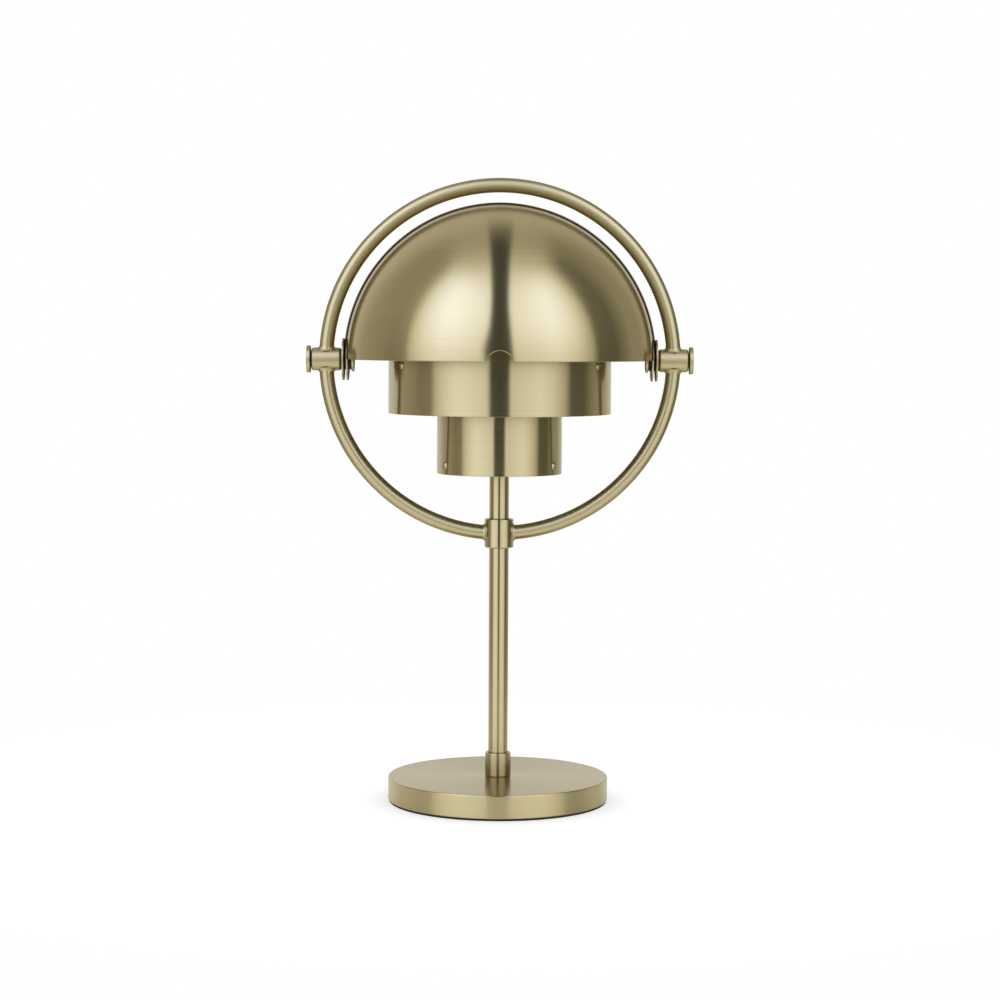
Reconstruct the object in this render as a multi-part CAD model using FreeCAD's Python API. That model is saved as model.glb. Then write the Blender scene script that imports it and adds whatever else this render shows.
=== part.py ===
import FreeCAD, Part
import math
import os
from FreeCAD import Vector

# A cordless desk lamp: two nested quarter-sphere shells swing on a ring frame over two fixed
# cylinder shades. Millimetres, +Z up, origin on the table under the stem, front towards -Y.

# ---- driving dimensions ----

hinge_height = 213.0          # table to the line on which the shells swing

# running and seating clearances
bore_fit = 0.05               # radial, a fixed piece on its shaft or in its hole
running_fit = 0.06            # radial, an ear on its bolt
face_fit = 0.05               # between a turning ear and the washer beside it

# swinging shells
shade_radius = 74.9           # outside of the back shell
shell_sheet = 0.6
shell_gap = 0.6               # between the nested shells
shell_overlap = 1.5           # degrees that each shell reaches past the top
notch_side_gap = 1.4          # beside the stem when the shell hangs down
notch_end_gap = 0.3           # in front of the stem then
ear_diameter = 20.0
ear_sheet = 0.8
back_ear_sink = 0.4           # inner face of the back ear, inside the shell's outer radius
front_ear_sink = 0.5          # outer face of the front ear, inside its shell's outer radius
ear_hole_margin = 0.4         # between the back shell's end and the washer inside it

# pivots
bolt_diameter = 4.0
bolt_head_diameter = 12.9
bolt_head_thickness = 1.75
bolt_slot_width = 1.2
bolt_slot_depth = 0.7
outer_washer_diameter = 6.6
outer_washer_thickness = 0.65
pivot_washer_diameter = 10.0
sleeve_washer_thickness = 0.9
nut_washer_thickness = 1.4
pivot_nut_diameter = 11.7
pivot_nut_thickness = 1.2
sleeve_diameter = 10.9
sleeve_chamfer = 0.5

# ring frame and stem
ring_gap = 4.8                # from the back shell to the ring's tube
ring_tube_diameter = 6.9
ring_tube_wall = 1.0
stem_diameter = 9.4
stem_wall = 1.0
ring_collar_wall = 2.2
ring_collar_height = 14.0
collar_chamfer = 0.4
collar_screw_diameter = 3.0
base_collar_wall = 1.45
base_collar_height = 11.6

# fixed cylinder shades
upper_shade_diameter = 106.6
upper_shade_rise = 8.0        # top edge above the pivot line
upper_shade_drop = 25.6       # bottom edge below the pivot line
lower_shade_diameter = 59.9
lower_shade_shown = 28.8      # part below the upper shade's bottom edge
lower_shade_hidden = 3.0      # part inside the upper shade
shade_sheet = 0.8
upper_rivet_inset = 10.35     # rivet centre to the upper shade's top edge
lower_rivet_inset = 4.35      # rivet centre to the lower shade's bottom edge
rivet_head_diameter = 4.0
rivet_head_height = 0.9
rivet_dimple_diameter = 1.3
rivet_dimple_depth = 0.5
rivet_shank_diameter = 2.2
rivet_tail_diameter = 3.2
rivet_tail_height = 0.6
rivet_angles = (-150.0, -30.0, 90.0)   # seen from above, from +X

# spiders that carry the cylinder shades
spider_sheet = 1.0
spider_arm_width = 8.0
spider_tab_margin = 3.0       # tab beyond the rivet's centre
tab_seat_gap = 0.05           # tab to the shade's inner wall
lower_spider_lift = 1.5       # underside above the lower shade's edge
lower_spider_hub_diameter = 20.0
upper_spider_drop = 5.2       # underside below the upper rivets
hub_height = 7.0
hub_diameter = 18.0
hub_screw_circle = 13.4
small_screw_diameter = 2.0
small_screw_head_diameter = 3.4
small_screw_head_height = 0.9

# lamp housing and light
housing_diameter = 34.0
housing_wall = 1.5
housing_body_height = 16.0
housing_floor = 3.0
housing_boss_diameter = 18.0
housing_boss_height = 6.0
housing_groove_depth = 0.9
housing_groove_width = 1.4
housing_groove_count = 4
flange_width = 8.0
flange_thickness = 2.0
flange_screw_circle = 42.0
led_board_diameter = 40.0
led_board_thickness = 1.6
led_chip_size = 2.8
led_chip_height = 0.8
led_chip_circle = 28.0
led_chip_count = 12
diffuser_margin = 1.0         # flange beyond the diffuser
diffuser_wall = 1.6
diffuser_side_height = 14.0
diffuser_corner = 10.0
lead_diameter = 1.2
lead_spacing = 1.8
lead_bend_radius = 4.0

# base
pad_thickness = 1.0
pad_inset = 0.5
cover_thickness = 1.2
cover_gap = 0.1
cover_ledge = 4.0             # rim under the base that the cover sits in
cover_screw_depth = 5.0       # thread above the cover
base_rim = 4.5                # outside that ledge
base_top_thickness = 2.2
base_edge_radius = 0.5
stem_nut_across_flats = 13.0
stem_nut_height = 3.0
battery_length = 44.0
battery_width = 30.0
battery_thickness = 5.5
battery_headroom = 2.1
battery_side_gap = 0.5
battery_nut_gap = 0.6

# control board, charging socket, dimmer button
board_thickness = 1.2
board_lift = 1.0
board_front = 22.0            # from the stem's axis
board_left = -17.0
board_right = 9.0
board_screw_inset = 3.0
bay_margin = 1.2              # pocket round the board
bay_wall = 1.6                # thinnest wall outside the bay
socket_width = 8.9
socket_height = 3.2
socket_length = 7.35
socket_sheet = 0.3
socket_tongue_width = 6.6
socket_tongue_thickness = 0.7
socket_tongue_length = 5.2
socket_hole_gap = 0.15
socket_mouth_inset = 0.1
button_offset = -12.0         # across from the stem's axis
button_diameter = 4.4
button_stand = 0.9            # face beyond the base's side at the button's axis
button_travel = 0.5
button_fit = 0.1
button_flange_width = 0.8
button_flange_thickness = 0.8
guide_wall = 0.9
plunger_diameter = 2.0
plunger_length = 1.1
plunger_gap = 0.1             # plunger to the button when the button is fully in
switch_size = 4.5
switch_depth = 3.5


# ---- worked out from them ----

stem_radius = stem_diameter / 2
front_shell_radius = shade_radius - shell_sheet - shell_gap
ear_radius = ear_diameter / 2
bolt_radius = bolt_diameter / 2
washer_radius = pivot_washer_diameter / 2

# faces along one pivot, as distances from the middle of the lamp
back_ear_inner = shade_radius - back_ear_sink
back_ear_outer = back_ear_inner + ear_sheet
front_ear_outer = front_shell_radius - front_ear_sink
front_ear_inner = front_ear_outer - ear_sheet
sleeve_washer_inner = back_ear_outer + face_fit
sleeve_inner = sleeve_washer_inner + sleeve_washer_thickness
ring_tube_radius = ring_tube_diameter / 2
ring_radius = shade_radius + ring_gap + ring_tube_radius
sleeve_outer = 2 * ring_radius - sleeve_inner
outer_washer_outer = sleeve_outer + outer_washer_thickness
bolt_head_outer = outer_washer_outer + bolt_head_thickness
nut_washer_outer = front_ear_inner - face_fit
nut_washer_inner = nut_washer_outer - nut_washer_thickness
pivot_nut_inner = nut_washer_inner - pivot_nut_thickness

# heights
ring_collar_radius = stem_radius + bore_fit + ring_collar_wall
ring_collar_bottom = hinge_height - ring_radius - ring_collar_height / 2
upper_shade_top = hinge_height + upper_shade_rise
upper_shade_bottom = hinge_height - upper_shade_drop
lower_shade_bottom = upper_shade_bottom - lower_shade_shown
lower_shade_top = upper_shade_bottom + lower_shade_hidden
upper_rivet_height = upper_shade_top - upper_rivet_inset
lower_rivet_height = lower_shade_bottom + lower_rivet_inset
upper_spider_bottom = upper_rivet_height - upper_spider_drop
lower_spider_bottom = lower_shade_bottom + lower_spider_lift
hub_bottom = lower_spider_bottom + spider_sheet
hub_top = hub_bottom + hub_height
hub_screw_depth = spider_sheet + hub_height / 2
flange_bottom = upper_spider_bottom + spider_sheet
flange_top = flange_bottom + flange_thickness
flange_screw_depth = spider_sheet + flange_thickness / 2
housing_radius = housing_diameter / 2
flange_radius = housing_radius + flange_width
housing_bottom = flange_bottom - housing_body_height
housing_floor_top = housing_bottom + housing_floor
boss_bottom = housing_bottom - housing_boss_height
led_board_top = flange_top + led_board_thickness
diffuser_radius = flange_radius - diffuser_margin

# base
cover_bottom = pad_thickness
pocket_bottom = cover_bottom + cover_thickness
pocket_top = pocket_bottom + battery_thickness + battery_headroom
base_top = pocket_top + base_top_thickness
stem_nut_radius = stem_nut_across_flats / math.sqrt(3)
stem_bottom = pocket_top - stem_nut_height
battery_near = stem_nut_radius + battery_nut_gap
battery_far = battery_near + battery_width
pocket_radius = math.hypot(battery_length / 2, battery_far) + battery_side_gap
cover_recess_radius = pocket_radius + cover_ledge
base_radius = cover_recess_radius + base_rim
base_collar_radius = stem_radius + bore_fit + base_collar_wall
cover_screw_circle = pocket_radius + cover_ledge / 2
cover_screw_tip = pocket_bottom + cover_screw_depth
board_bottom = pocket_bottom + board_lift
board_top = board_bottom + board_thickness
lead_radius = lead_diameter / 2
lead_height = board_top + lead_radius
bay_left = board_left - bay_margin
bay_right = board_right + bay_margin
bay_back = math.sqrt(base_radius ** 2 - bay_left ** 2) - bay_wall
button_radius = button_diameter / 2
button_face = math.sqrt(base_radius ** 2 - button_offset ** 2) + button_stand
button_height = board_top + switch_size / 2
flange_face = bay_back - bore_fit
button_rear = flange_face - button_flange_thickness
plunger_tip = button_rear - button_travel - plunger_gap
switch_front = plunger_tip - plunger_length
switch_back = switch_front - switch_depth
board_rear = switch_front
socket_face = math.sqrt(base_radius ** 2 - (socket_width / 2) ** 2) - socket_mouth_inset
socket_rear = socket_face - socket_length

X = Vector(1, 0, 0)
Y = Vector(0, 1, 0)
Z = Vector(0, 0, 1)


# ---- shapes that come again ----

def cylinder(radius, start, end, axis=Z, x=0.0, y=0.0, z=0.0):
    """A round bar along an axis, from start to end measured on that axis."""
    foot = Vector(x, y, z) + axis * start
    return Part.makeCylinder(radius, end - start, foot, axis)


def tube(outer, inner, start, end, axis=Z, x=0.0, y=0.0, z=0.0):
    bar = cylinder(outer, start, end, axis, x, y, z)
    return bar.cut(cylinder(inner, start, end, axis, x, y, z))


def box(x0, x1, y0, y1, z0, z1):
    return Part.makeBox(x1 - x0, y1 - y0, z1 - z0, Vector(x0, y0, z0))


def turned(points):
    """A solid turned round the Z axis from a closed outline of (radius, height) points."""
    corners = [Vector(radius, 0, height) for radius, height in points]
    outline = Part.makePolygon(corners + corners[:1])
    return Part.Face(outline).revolve(Vector(), Z, 360)


def turned_to(direction, shape):
    """Turn a shape about Z so that its +X side faces the direction in degrees."""
    result = shape.copy()
    result.rotate(Vector(), Z, direction)
    return result


def chamfered_tube(outer, inner, bottom, top, chamfer):
    """A collar with both outer edges broken."""
    return turned([(inner, bottom), (outer - chamfer, bottom), (outer, bottom + chamfer),
                   (outer, top - chamfer), (outer - chamfer, top), (inner, top)])


def on_pivot(shape, side):
    """Lay a shape made along Z onto the pivot line, pointing outwards on one side."""
    result = shape.copy()
    result.rotate(Vector(), Y, 90 * side)
    result.translate(Vector(0, 0, hinge_height))
    return result


def both_sides(shape):
    return Part.makeCompound([on_pivot(shape, -1), on_pivot(shape, 1)])


def stadium(width, height, y0, y1, z_middle):
    """A bar along Y with flat top and bottom and half-round ends."""
    radius = height / 2
    side = width / 2 - radius
    middle = box(-side, side, y0, y1, z_middle - radius, z_middle + radius)
    left = cylinder(radius, y0, y1, Y, -side, 0, z_middle)
    right = cylinder(radius, y0, y1, Y, side, 0, z_middle)
    return middle.fuse([left, right]).removeSplitter()


# ---- swinging shells ----

def quarter_shell(radius, end_face, end_radius, front):
    """A quarter of a hollow sphere, open at its two ends for the ears."""
    outer = Part.Face(Part.Wire(Part.makeCircle(radius)))
    inner = Part.Face(Part.Wire(Part.makeCircle(radius - shell_sheet)))
    reach = radius + shell_sheet
    window = Part.makePlane(2 * end_face, reach, Vector(-end_face, end_radius, 0))
    profile = outer.cut(inner).common(window)
    shell = profile.revolve(Vector(), X, 90 + shell_overlap)
    notch_radius = stem_radius + notch_side_gap
    notch_depth = stem_radius + notch_end_gap
    notch = cylinder(notch_radius, radius / 2, reach, Y, 0, 0, notch_depth - notch_radius)
    shell = shell.cut(notch)
    if front:
        shell.rotate(Vector(), Z, 180)
    shell.translate(Vector(0, 0, hinge_height))
    return shell


def front_shell():
    return quarter_shell(front_shell_radius, front_ear_outer, ear_radius, True)


def back_shell():
    end_radius = washer_radius + ear_hole_margin
    return quarter_shell(shade_radius, back_ear_inner, end_radius, False)


def ears(inner_face):
    return both_sides(tube(ear_radius, bolt_radius + running_fit, inner_face, inner_face + ear_sheet))


# ---- pivots ----

def pivot_bolt(side):
    shaft = cylinder(bolt_radius, pivot_nut_inner, outer_washer_outer)
    head = cylinder(bolt_head_diameter / 2, outer_washer_outer, bolt_head_outer)
    slot_half = bolt_slot_width / 2
    slot = box(-bolt_head_diameter, bolt_head_diameter, -slot_half, slot_half,
               bolt_head_outer - bolt_slot_depth, bolt_head_outer + bolt_slot_depth)
    return on_pivot(shaft.fuse(head).cut(slot), side)


def pivot_rings(diameter, inner, outer):
    """A pair of plain rings on the bolts, one each side."""
    return both_sides(tube(diameter / 2, bolt_radius + bore_fit, inner, outer))


def sleeve(side):
    body = chamfered_tube(sleeve_diameter / 2, bolt_radius + bore_fit, sleeve_inner, sleeve_outer,
                          sleeve_chamfer)
    return on_pivot(body, side)


# ---- ring frame and stem ----

def ring_arc(start, sweep):
    """A bent tube of the ring, from start degrees above +X, ending on what it is brazed to."""
    outer = Part.Face(Part.Wire(Part.makeCircle(ring_tube_radius, Vector(ring_radius, 0, 0))))
    inner_radius = ring_tube_radius - ring_tube_wall
    inner = Part.Face(Part.Wire(Part.makeCircle(inner_radius, Vector(ring_radius, 0, 0))))
    arc = outer.cut(inner).revolve(Vector(), Y * -1, sweep)
    arc.rotate(Vector(), Y * -1, start)
    arc.translate(Vector(0, 0, hinge_height))
    for side in (-1, 1):
        arc = arc.cut(on_pivot(cylinder(sleeve_diameter / 2, sleeve_inner, sleeve_outer), side))
    collar_top = ring_collar_bottom + ring_collar_height
    return arc.cut(cylinder(ring_collar_radius, ring_collar_bottom, collar_top))


def collar_screw_hole(radius):
    middle = ring_collar_bottom + ring_collar_height / 2
    return cylinder(radius, stem_radius + bore_fit, ring_collar_radius, Y, 0, 0, middle)


def ring_collar():
    body = chamfered_tube(ring_collar_radius, stem_radius + bore_fit, ring_collar_bottom,
                          ring_collar_bottom + ring_collar_height, collar_chamfer)
    return body.cut(collar_screw_hole(collar_screw_diameter / 2 + bore_fit))


def stem_tube():
    return tube(stem_radius, stem_radius - stem_wall, stem_bottom, housing_floor_top)


def base_collar():
    return chamfered_tube(base_collar_radius, stem_radius + bore_fit, base_top,
                          base_top + base_collar_height, collar_chamfer)


# ---- fixed cylinder shades with their spiders and rivets ----

def cylinder_shade(diameter, bottom, top, rivet_height):
    radius = diameter / 2
    wall = tube(radius, radius - shade_sheet, bottom, top)
    hole = cylinder(rivet_shank_diameter / 2 + bore_fit, 0, radius + shade_sheet, X, 0, 0, rivet_height)
    return wall.cut([turned_to(angle, hole) for angle in rivet_angles])


def spider(shade_diameter, bottom, hub_outer, hub_inner, rivet_height, screw_circle, screw_radius):
    """A sheet hub with three arms, each turned up at its end into a tab behind a rivet."""
    wall_radius = shade_diameter / 2 - shade_sheet
    tab_outer = wall_radius - tab_seat_gap
    tab_inner = tab_outer - spider_sheet
    top = bottom + spider_sheet
    half = spider_arm_width / 2
    tab_top = rivet_height + spider_tab_margin
    hole = cylinder(rivet_shank_diameter / 2 + bore_fit, 0, wall_radius, X, 0, 0, rivet_height)
    hub = cylinder(hub_outer / 2, bottom, top)
    parts = []
    for angle in rivet_angles:
        arm = box(0, tab_outer, -half, half, bottom, top)
        arm = arm.common(cylinder(tab_outer, bottom, top))
        tab = tube(tab_outer, tab_inner, bottom, tab_top)
        tab = tab.common(box(0, tab_outer, -half, half, bottom, tab_top)).cut(hole)
        parts.append(turned_to(angle, arm.fuse(tab)))
    plate = hub.fuse(parts).removeSplitter()
    holes = [cylinder(hub_inner, bottom, tab_top)]
    for angle in rivet_angles:
        hole = cylinder(screw_radius, bottom, top, Z, screw_circle / 2)
        holes.append(turned_to(angle + 60, hole))
    return plate.cut(holes)


def lower_spider():
    return spider(lower_shade_diameter, lower_spider_bottom, lower_spider_hub_diameter,
                  stem_radius + bore_fit, lower_rivet_height, hub_screw_circle,
                  small_screw_diameter / 2 + bore_fit)


def upper_spider():
    return spider(upper_shade_diameter, upper_spider_bottom, 2 * flange_radius,
                  housing_radius + bore_fit, upper_rivet_height, flange_screw_circle,
                  small_screw_diameter / 2 + bore_fit)


def rivets(shade_diameter, height):
    """Three domed rivets through a shade and the tabs behind it."""
    seat = shade_diameter / 2
    tab_inner = seat - shade_sheet - tab_seat_gap - spider_sheet
    tail_seat = math.sqrt(tab_inner ** 2 - (rivet_tail_diameter / 2) ** 2)
    head_radius = rivet_head_diameter / 2
    ball_radius = (head_radius ** 2 + rivet_head_height ** 2) / (2 * rivet_head_height)
    ball = Part.makeSphere(ball_radius, Vector(seat + rivet_head_height - ball_radius, 0, 0))
    head = ball.common(cylinder(head_radius, seat, seat + rivet_head_height, X))
    dimple_floor = seat + rivet_head_height - rivet_dimple_depth
    head = head.cut(cylinder(rivet_dimple_diameter / 2, dimple_floor, seat + head_radius, X))
    shank = cylinder(rivet_shank_diameter / 2, tail_seat - rivet_tail_height, seat, X)
    tail = cylinder(rivet_tail_diameter / 2, tail_seat - rivet_tail_height, tail_seat, X)
    rivet = head.fuse([shank, tail]).removeSplitter()
    rivet.translate(Vector(0, 0, height))
    return Part.makeCompound([turned_to(angle, rivet) for angle in rivet_angles])


def screws_up(circle, seat, depth):
    """Three small screws driven upwards, their heads under the seat, between the spider's arms."""
    shank = cylinder(small_screw_diameter / 2, seat, seat + depth, Z, circle / 2)
    head = cylinder(small_screw_head_diameter / 2, seat - small_screw_head_height, seat, Z, circle / 2)
    screw = shank.fuse(head)
    return Part.makeCompound([turned_to(angle + 60, screw) for angle in rivet_angles])


def holes_up(circle, start, end):
    hole = cylinder(small_screw_diameter / 2 + bore_fit, start, end, Z, circle / 2)
    return [turned_to(angle + 60, hole) for angle in rivet_angles]


def spider_hub():
    """A ring on the stem above the lower spider, which hangs from it by three screws."""
    body = chamfered_tube(hub_diameter / 2, stem_radius + bore_fit, hub_bottom, hub_top, collar_chamfer)
    body = body.cut(holes_up(hub_screw_circle, hub_bottom, lower_spider_bottom + hub_screw_depth))
    return body.cut(hub_grub(collar_screw_diameter / 2 + bore_fit))


def hub_grub(radius):
    return cylinder(radius, stem_radius + bore_fit, hub_diameter / 2, Y, 0, 0, (hub_bottom + hub_top) / 2)


# ---- lamp housing and light ----

def lamp_housing():
    """A turned heat sink on the stem's end, with grooves round it and a flange on top."""
    bore = stem_radius + bore_fit
    inside = housing_radius - housing_wall
    body = turned([(bore, boss_bottom), (housing_boss_diameter / 2, boss_bottom),
                   (housing_boss_diameter / 2, housing_bottom), (housing_radius, housing_bottom),
                   (housing_radius, flange_bottom), (flange_radius, flange_bottom),
                   (flange_radius, flange_top), (inside, flange_top),
                   (inside, housing_floor_top), (bore, housing_floor_top)])
    pitch = housing_body_height / (housing_groove_count + 1)
    for number in range(housing_groove_count):
        middle = housing_bottom + pitch * (number + 1)
        low = middle - housing_groove_width / 2
        high = middle + housing_groove_width / 2
        body = body.cut(tube(housing_radius, housing_radius - housing_groove_depth, low, high))
    return body.cut(holes_up(flange_screw_circle, flange_bottom, upper_spider_bottom + flange_screw_depth))


def led_board():
    lead_holes = [cylinder(lead_radius + bore_fit, flange_top, led_board_top, Z, side * lead_spacing / 2)
                  for side in (-1, 1)]
    return cylinder(led_board_diameter / 2, flange_top, led_board_top).cut(lead_holes)


def led_chips():
    half = led_chip_size / 2
    middle = led_chip_circle / 2
    chip = box(middle - half, middle + half, -half, half, led_board_top, led_board_top + led_chip_height)
    step = 360 / led_chip_count
    return Part.makeCompound([turned_to(step * number, chip) for number in range(led_chip_count)])


def dome_outline(radius, top, corner, start_height):
    """Half outline of a cap: straight side, rounded shoulder, flat crown."""
    shoulder = top - corner
    side_foot = Vector(radius, 0, start_height)
    side_end = Vector(radius, 0, shoulder)
    turn = corner / math.sqrt(2)
    bend = Vector(radius - corner + turn, 0, shoulder + turn)
    crown_edge = Vector(radius - corner, 0, top)
    crown = Vector(0, 0, top)
    edges = [Part.LineSegment(side_foot, side_end).toShape(),
             Part.Arc(side_end, bend, crown_edge).toShape(),
             Part.LineSegment(crown_edge, crown).toShape(),
             Part.LineSegment(crown, Vector(0, 0, start_height)).toShape(),
             Part.LineSegment(Vector(0, 0, start_height), side_foot).toShape()]
    return Part.Face(Part.Wire(edges)).revolve(Vector(), Z, 360)


def diffuser():
    top = flange_top + diffuser_side_height + diffuser_corner
    outside = dome_outline(diffuser_radius, top, diffuser_corner, flange_top)
    inside = dome_outline(diffuser_radius - diffuser_wall, top - diffuser_wall,
                          diffuser_corner - diffuser_wall, flange_top)
    return outside.cut(inside)


def lamp_leads():
    """Two leads from the control board, up through the stem, to the light board's top face."""
    leads = []
    for side in (-1, 1):
        x = side * lead_spacing / 2
        run_start = Vector(x, board_front + board_screw_inset, lead_height)
        run_end = Vector(x, lead_bend_radius, lead_height)
        turn = lead_bend_radius * (1 - 1 / math.sqrt(2))
        bend = Vector(x, turn, lead_height + turn)
        rise_start = Vector(x, 0, lead_height + lead_bend_radius)
        rise_end = Vector(x, 0, led_board_top)
        path = Part.Wire([Part.LineSegment(run_start, run_end).toShape(),
                          Part.Arc(run_end, bend, rise_start).toShape(),
                          Part.LineSegment(rise_start, rise_end).toShape()])
        section = Part.Wire(Part.makeCircle(lead_radius, run_start, Y))
        leads.append(path.makePipeShell([section], True, False))
    return Part.makeCompound(leads)


# ---- base ----

def base_weight():
    """The heavy disc: a round pocket below, a bay behind it for the board, holes in its side."""
    edge = base_edge_radius
    body = turned([(0, pad_thickness), (base_radius - edge, pad_thickness),
                   (base_radius, pad_thickness + edge), (base_radius, base_top), (0, base_top)])
    rim = [item for item in body.Edges
           if abs(item.BoundBox.ZMin - base_top) < edge / 10 and item.BoundBox.XLength > base_radius]
    body = body.makeFillet(edge, rim)
    cuts = [cylinder(cover_recess_radius, pad_thickness, pocket_bottom),
            cylinder(pocket_radius, pad_thickness, pocket_top),
            box(bay_left, bay_right, 0, bay_back, pad_thickness, pocket_top),
            cylinder(stem_radius + bore_fit, pocket_bottom, base_top),
            socket_opening(),
            cylinder(guide_radius() + bore_fit, bay_back, base_radius, Y, button_offset, 0, button_height)]
    cuts += cover_screw_bars(small_screw_diameter / 2 + bore_fit, pocket_bottom, cover_screw_tip)
    return body.cut(cuts)


def socket_opening():
    middle = board_top + socket_height / 2
    gap = 2 * socket_hole_gap
    return stadium(socket_width + gap, socket_height + gap, board_front, base_radius, middle)


def guide_radius():
    return button_radius + button_fit + guide_wall


def cover_screw_bars(radius, start, end):
    bar = cylinder(radius, start, end, Z, cover_screw_circle)
    return [turned_to(45 + 90 * number, bar) for number in range(4)]


def cover_screws():
    """Four screws that hold the cover, heads sunk into its underside."""
    head_top = cover_bottom + small_screw_head_height
    shanks = cover_screw_bars(small_screw_diameter / 2, cover_bottom, cover_screw_tip)
    heads = cover_screw_bars(small_screw_head_diameter / 2, cover_bottom, head_top)
    return Part.makeCompound([shank.fuse(head) for shank, head in zip(shanks, heads)])


def board_screw_places():
    y = board_front + board_screw_inset
    return [(board_left + board_screw_inset, y), (board_right - board_screw_inset, y)]


def base_cover():
    """A steel plate under the base, with two pressed-up seats for the board."""
    plate = cylinder(cover_recess_radius - cover_gap, cover_bottom, pocket_bottom)
    seats = [cylinder(board_screw_inset - bore_fit, cover_bottom, board_bottom, Z, x, y)
             for x, y in board_screw_places()]
    rear_seat = box(board_left, board_right, board_rear - board_screw_inset, board_rear,
                    cover_bottom, board_bottom)
    plate = plate.fuse(seats + [rear_seat])
    head_top = cover_bottom + small_screw_head_height
    cuts = cover_screw_bars(small_screw_diameter / 2 + bore_fit, cover_bottom, pocket_bottom)
    cuts += cover_screw_bars(small_screw_head_diameter / 2 + bore_fit, cover_bottom, head_top)
    cuts += [cylinder(small_screw_diameter / 2 + bore_fit, cover_bottom, board_bottom, Z, x, y)
             for x, y in board_screw_places()]
    return plate.cut(cuts)


def control_board():
    """A board that reaches further back beside the socket than under the button."""
    plate = box(board_left, board_right, board_front, board_rear, board_bottom, board_top)
    half = socket_width / 2
    tongue = box(-half, half, board_rear, bay_back - bore_fit, board_bottom, board_top)
    holes = [cylinder(small_screw_diameter / 2 + bore_fit, board_bottom, board_top, Z, x, y)
             for x, y in board_screw_places()]
    return plate.fuse(tongue).removeSplitter().cut(holes)


def board_screws():
    head_top = board_top + small_screw_head_height
    screws = []
    for x, y in board_screw_places():
        shank = cylinder(small_screw_diameter / 2, cover_bottom, board_top, Z, x, y)
        head = cylinder(small_screw_head_diameter / 2, board_top, head_top, Z, x, y)
        screws.append(shank.fuse(head))
    return Part.makeCompound(screws)


def charging_socket():
    middle = board_top + socket_height / 2
    shell = stadium(socket_width, socket_height, socket_rear, socket_face, middle)
    inside = stadium(socket_width - 2 * socket_sheet, socket_height - 2 * socket_sheet,
                     socket_rear + socket_sheet, socket_face, middle)
    half = socket_tongue_width / 2
    rise = socket_tongue_thickness / 2
    tongue = box(-half, half, socket_rear, socket_rear + socket_tongue_length,
                 middle - rise, middle + rise)
    return shell.cut(inside).fuse(tongue)


def dimmer_button():
    cap = cylinder(button_radius, button_rear, button_face, Y, button_offset, 0, button_height)
    flange = cylinder(button_radius + button_flange_width, button_rear, flange_face, Y,
                      button_offset, 0, button_height)
    return cap.fuse(flange)


def button_guide():
    bush = tube(guide_radius(), button_radius + button_fit, bay_back, base_radius, Y,
                button_offset, 0, button_height)
    return bush.common(cylinder(base_radius, 0, base_top))


def dimmer_switch():
    half = switch_size / 2
    body = box(button_offset - half, button_offset + half, switch_back, switch_front,
               board_top, board_top + switch_size)
    plunger = cylinder(plunger_diameter / 2, switch_front, plunger_tip, Y,
                       button_offset, 0, button_height)
    return body.fuse(plunger)


def battery():
    half = battery_length / 2
    pack = box(-half, half, -battery_far, -battery_near, pocket_bottom, pocket_bottom + battery_thickness)
    upright = [edge for edge in pack.Edges if edge.BoundBox.ZLength > battery_thickness / 2]
    return pack.makeFillet(1.5, upright)


def battery_leads():
    leads = []
    for place in (3, 4):
        x = -lead_spacing * place
        leads.append(cylinder(lead_radius, -battery_near, board_front + board_screw_inset, Y,
                              x, 0, lead_height))
    return Part.makeCompound(leads)


def stem_nut():
    corners = [Vector(stem_nut_radius * math.cos(math.radians(60 * k)),
                      stem_nut_radius * math.sin(math.radians(60 * k)), stem_bottom) for k in range(7)]
    body = Part.Face(Part.makePolygon(corners)).extrude(Z * stem_nut_height)
    return body.cut(cylinder(stem_radius + bore_fit, stem_bottom, pocket_top))


# ---- all nodes ----

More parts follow.
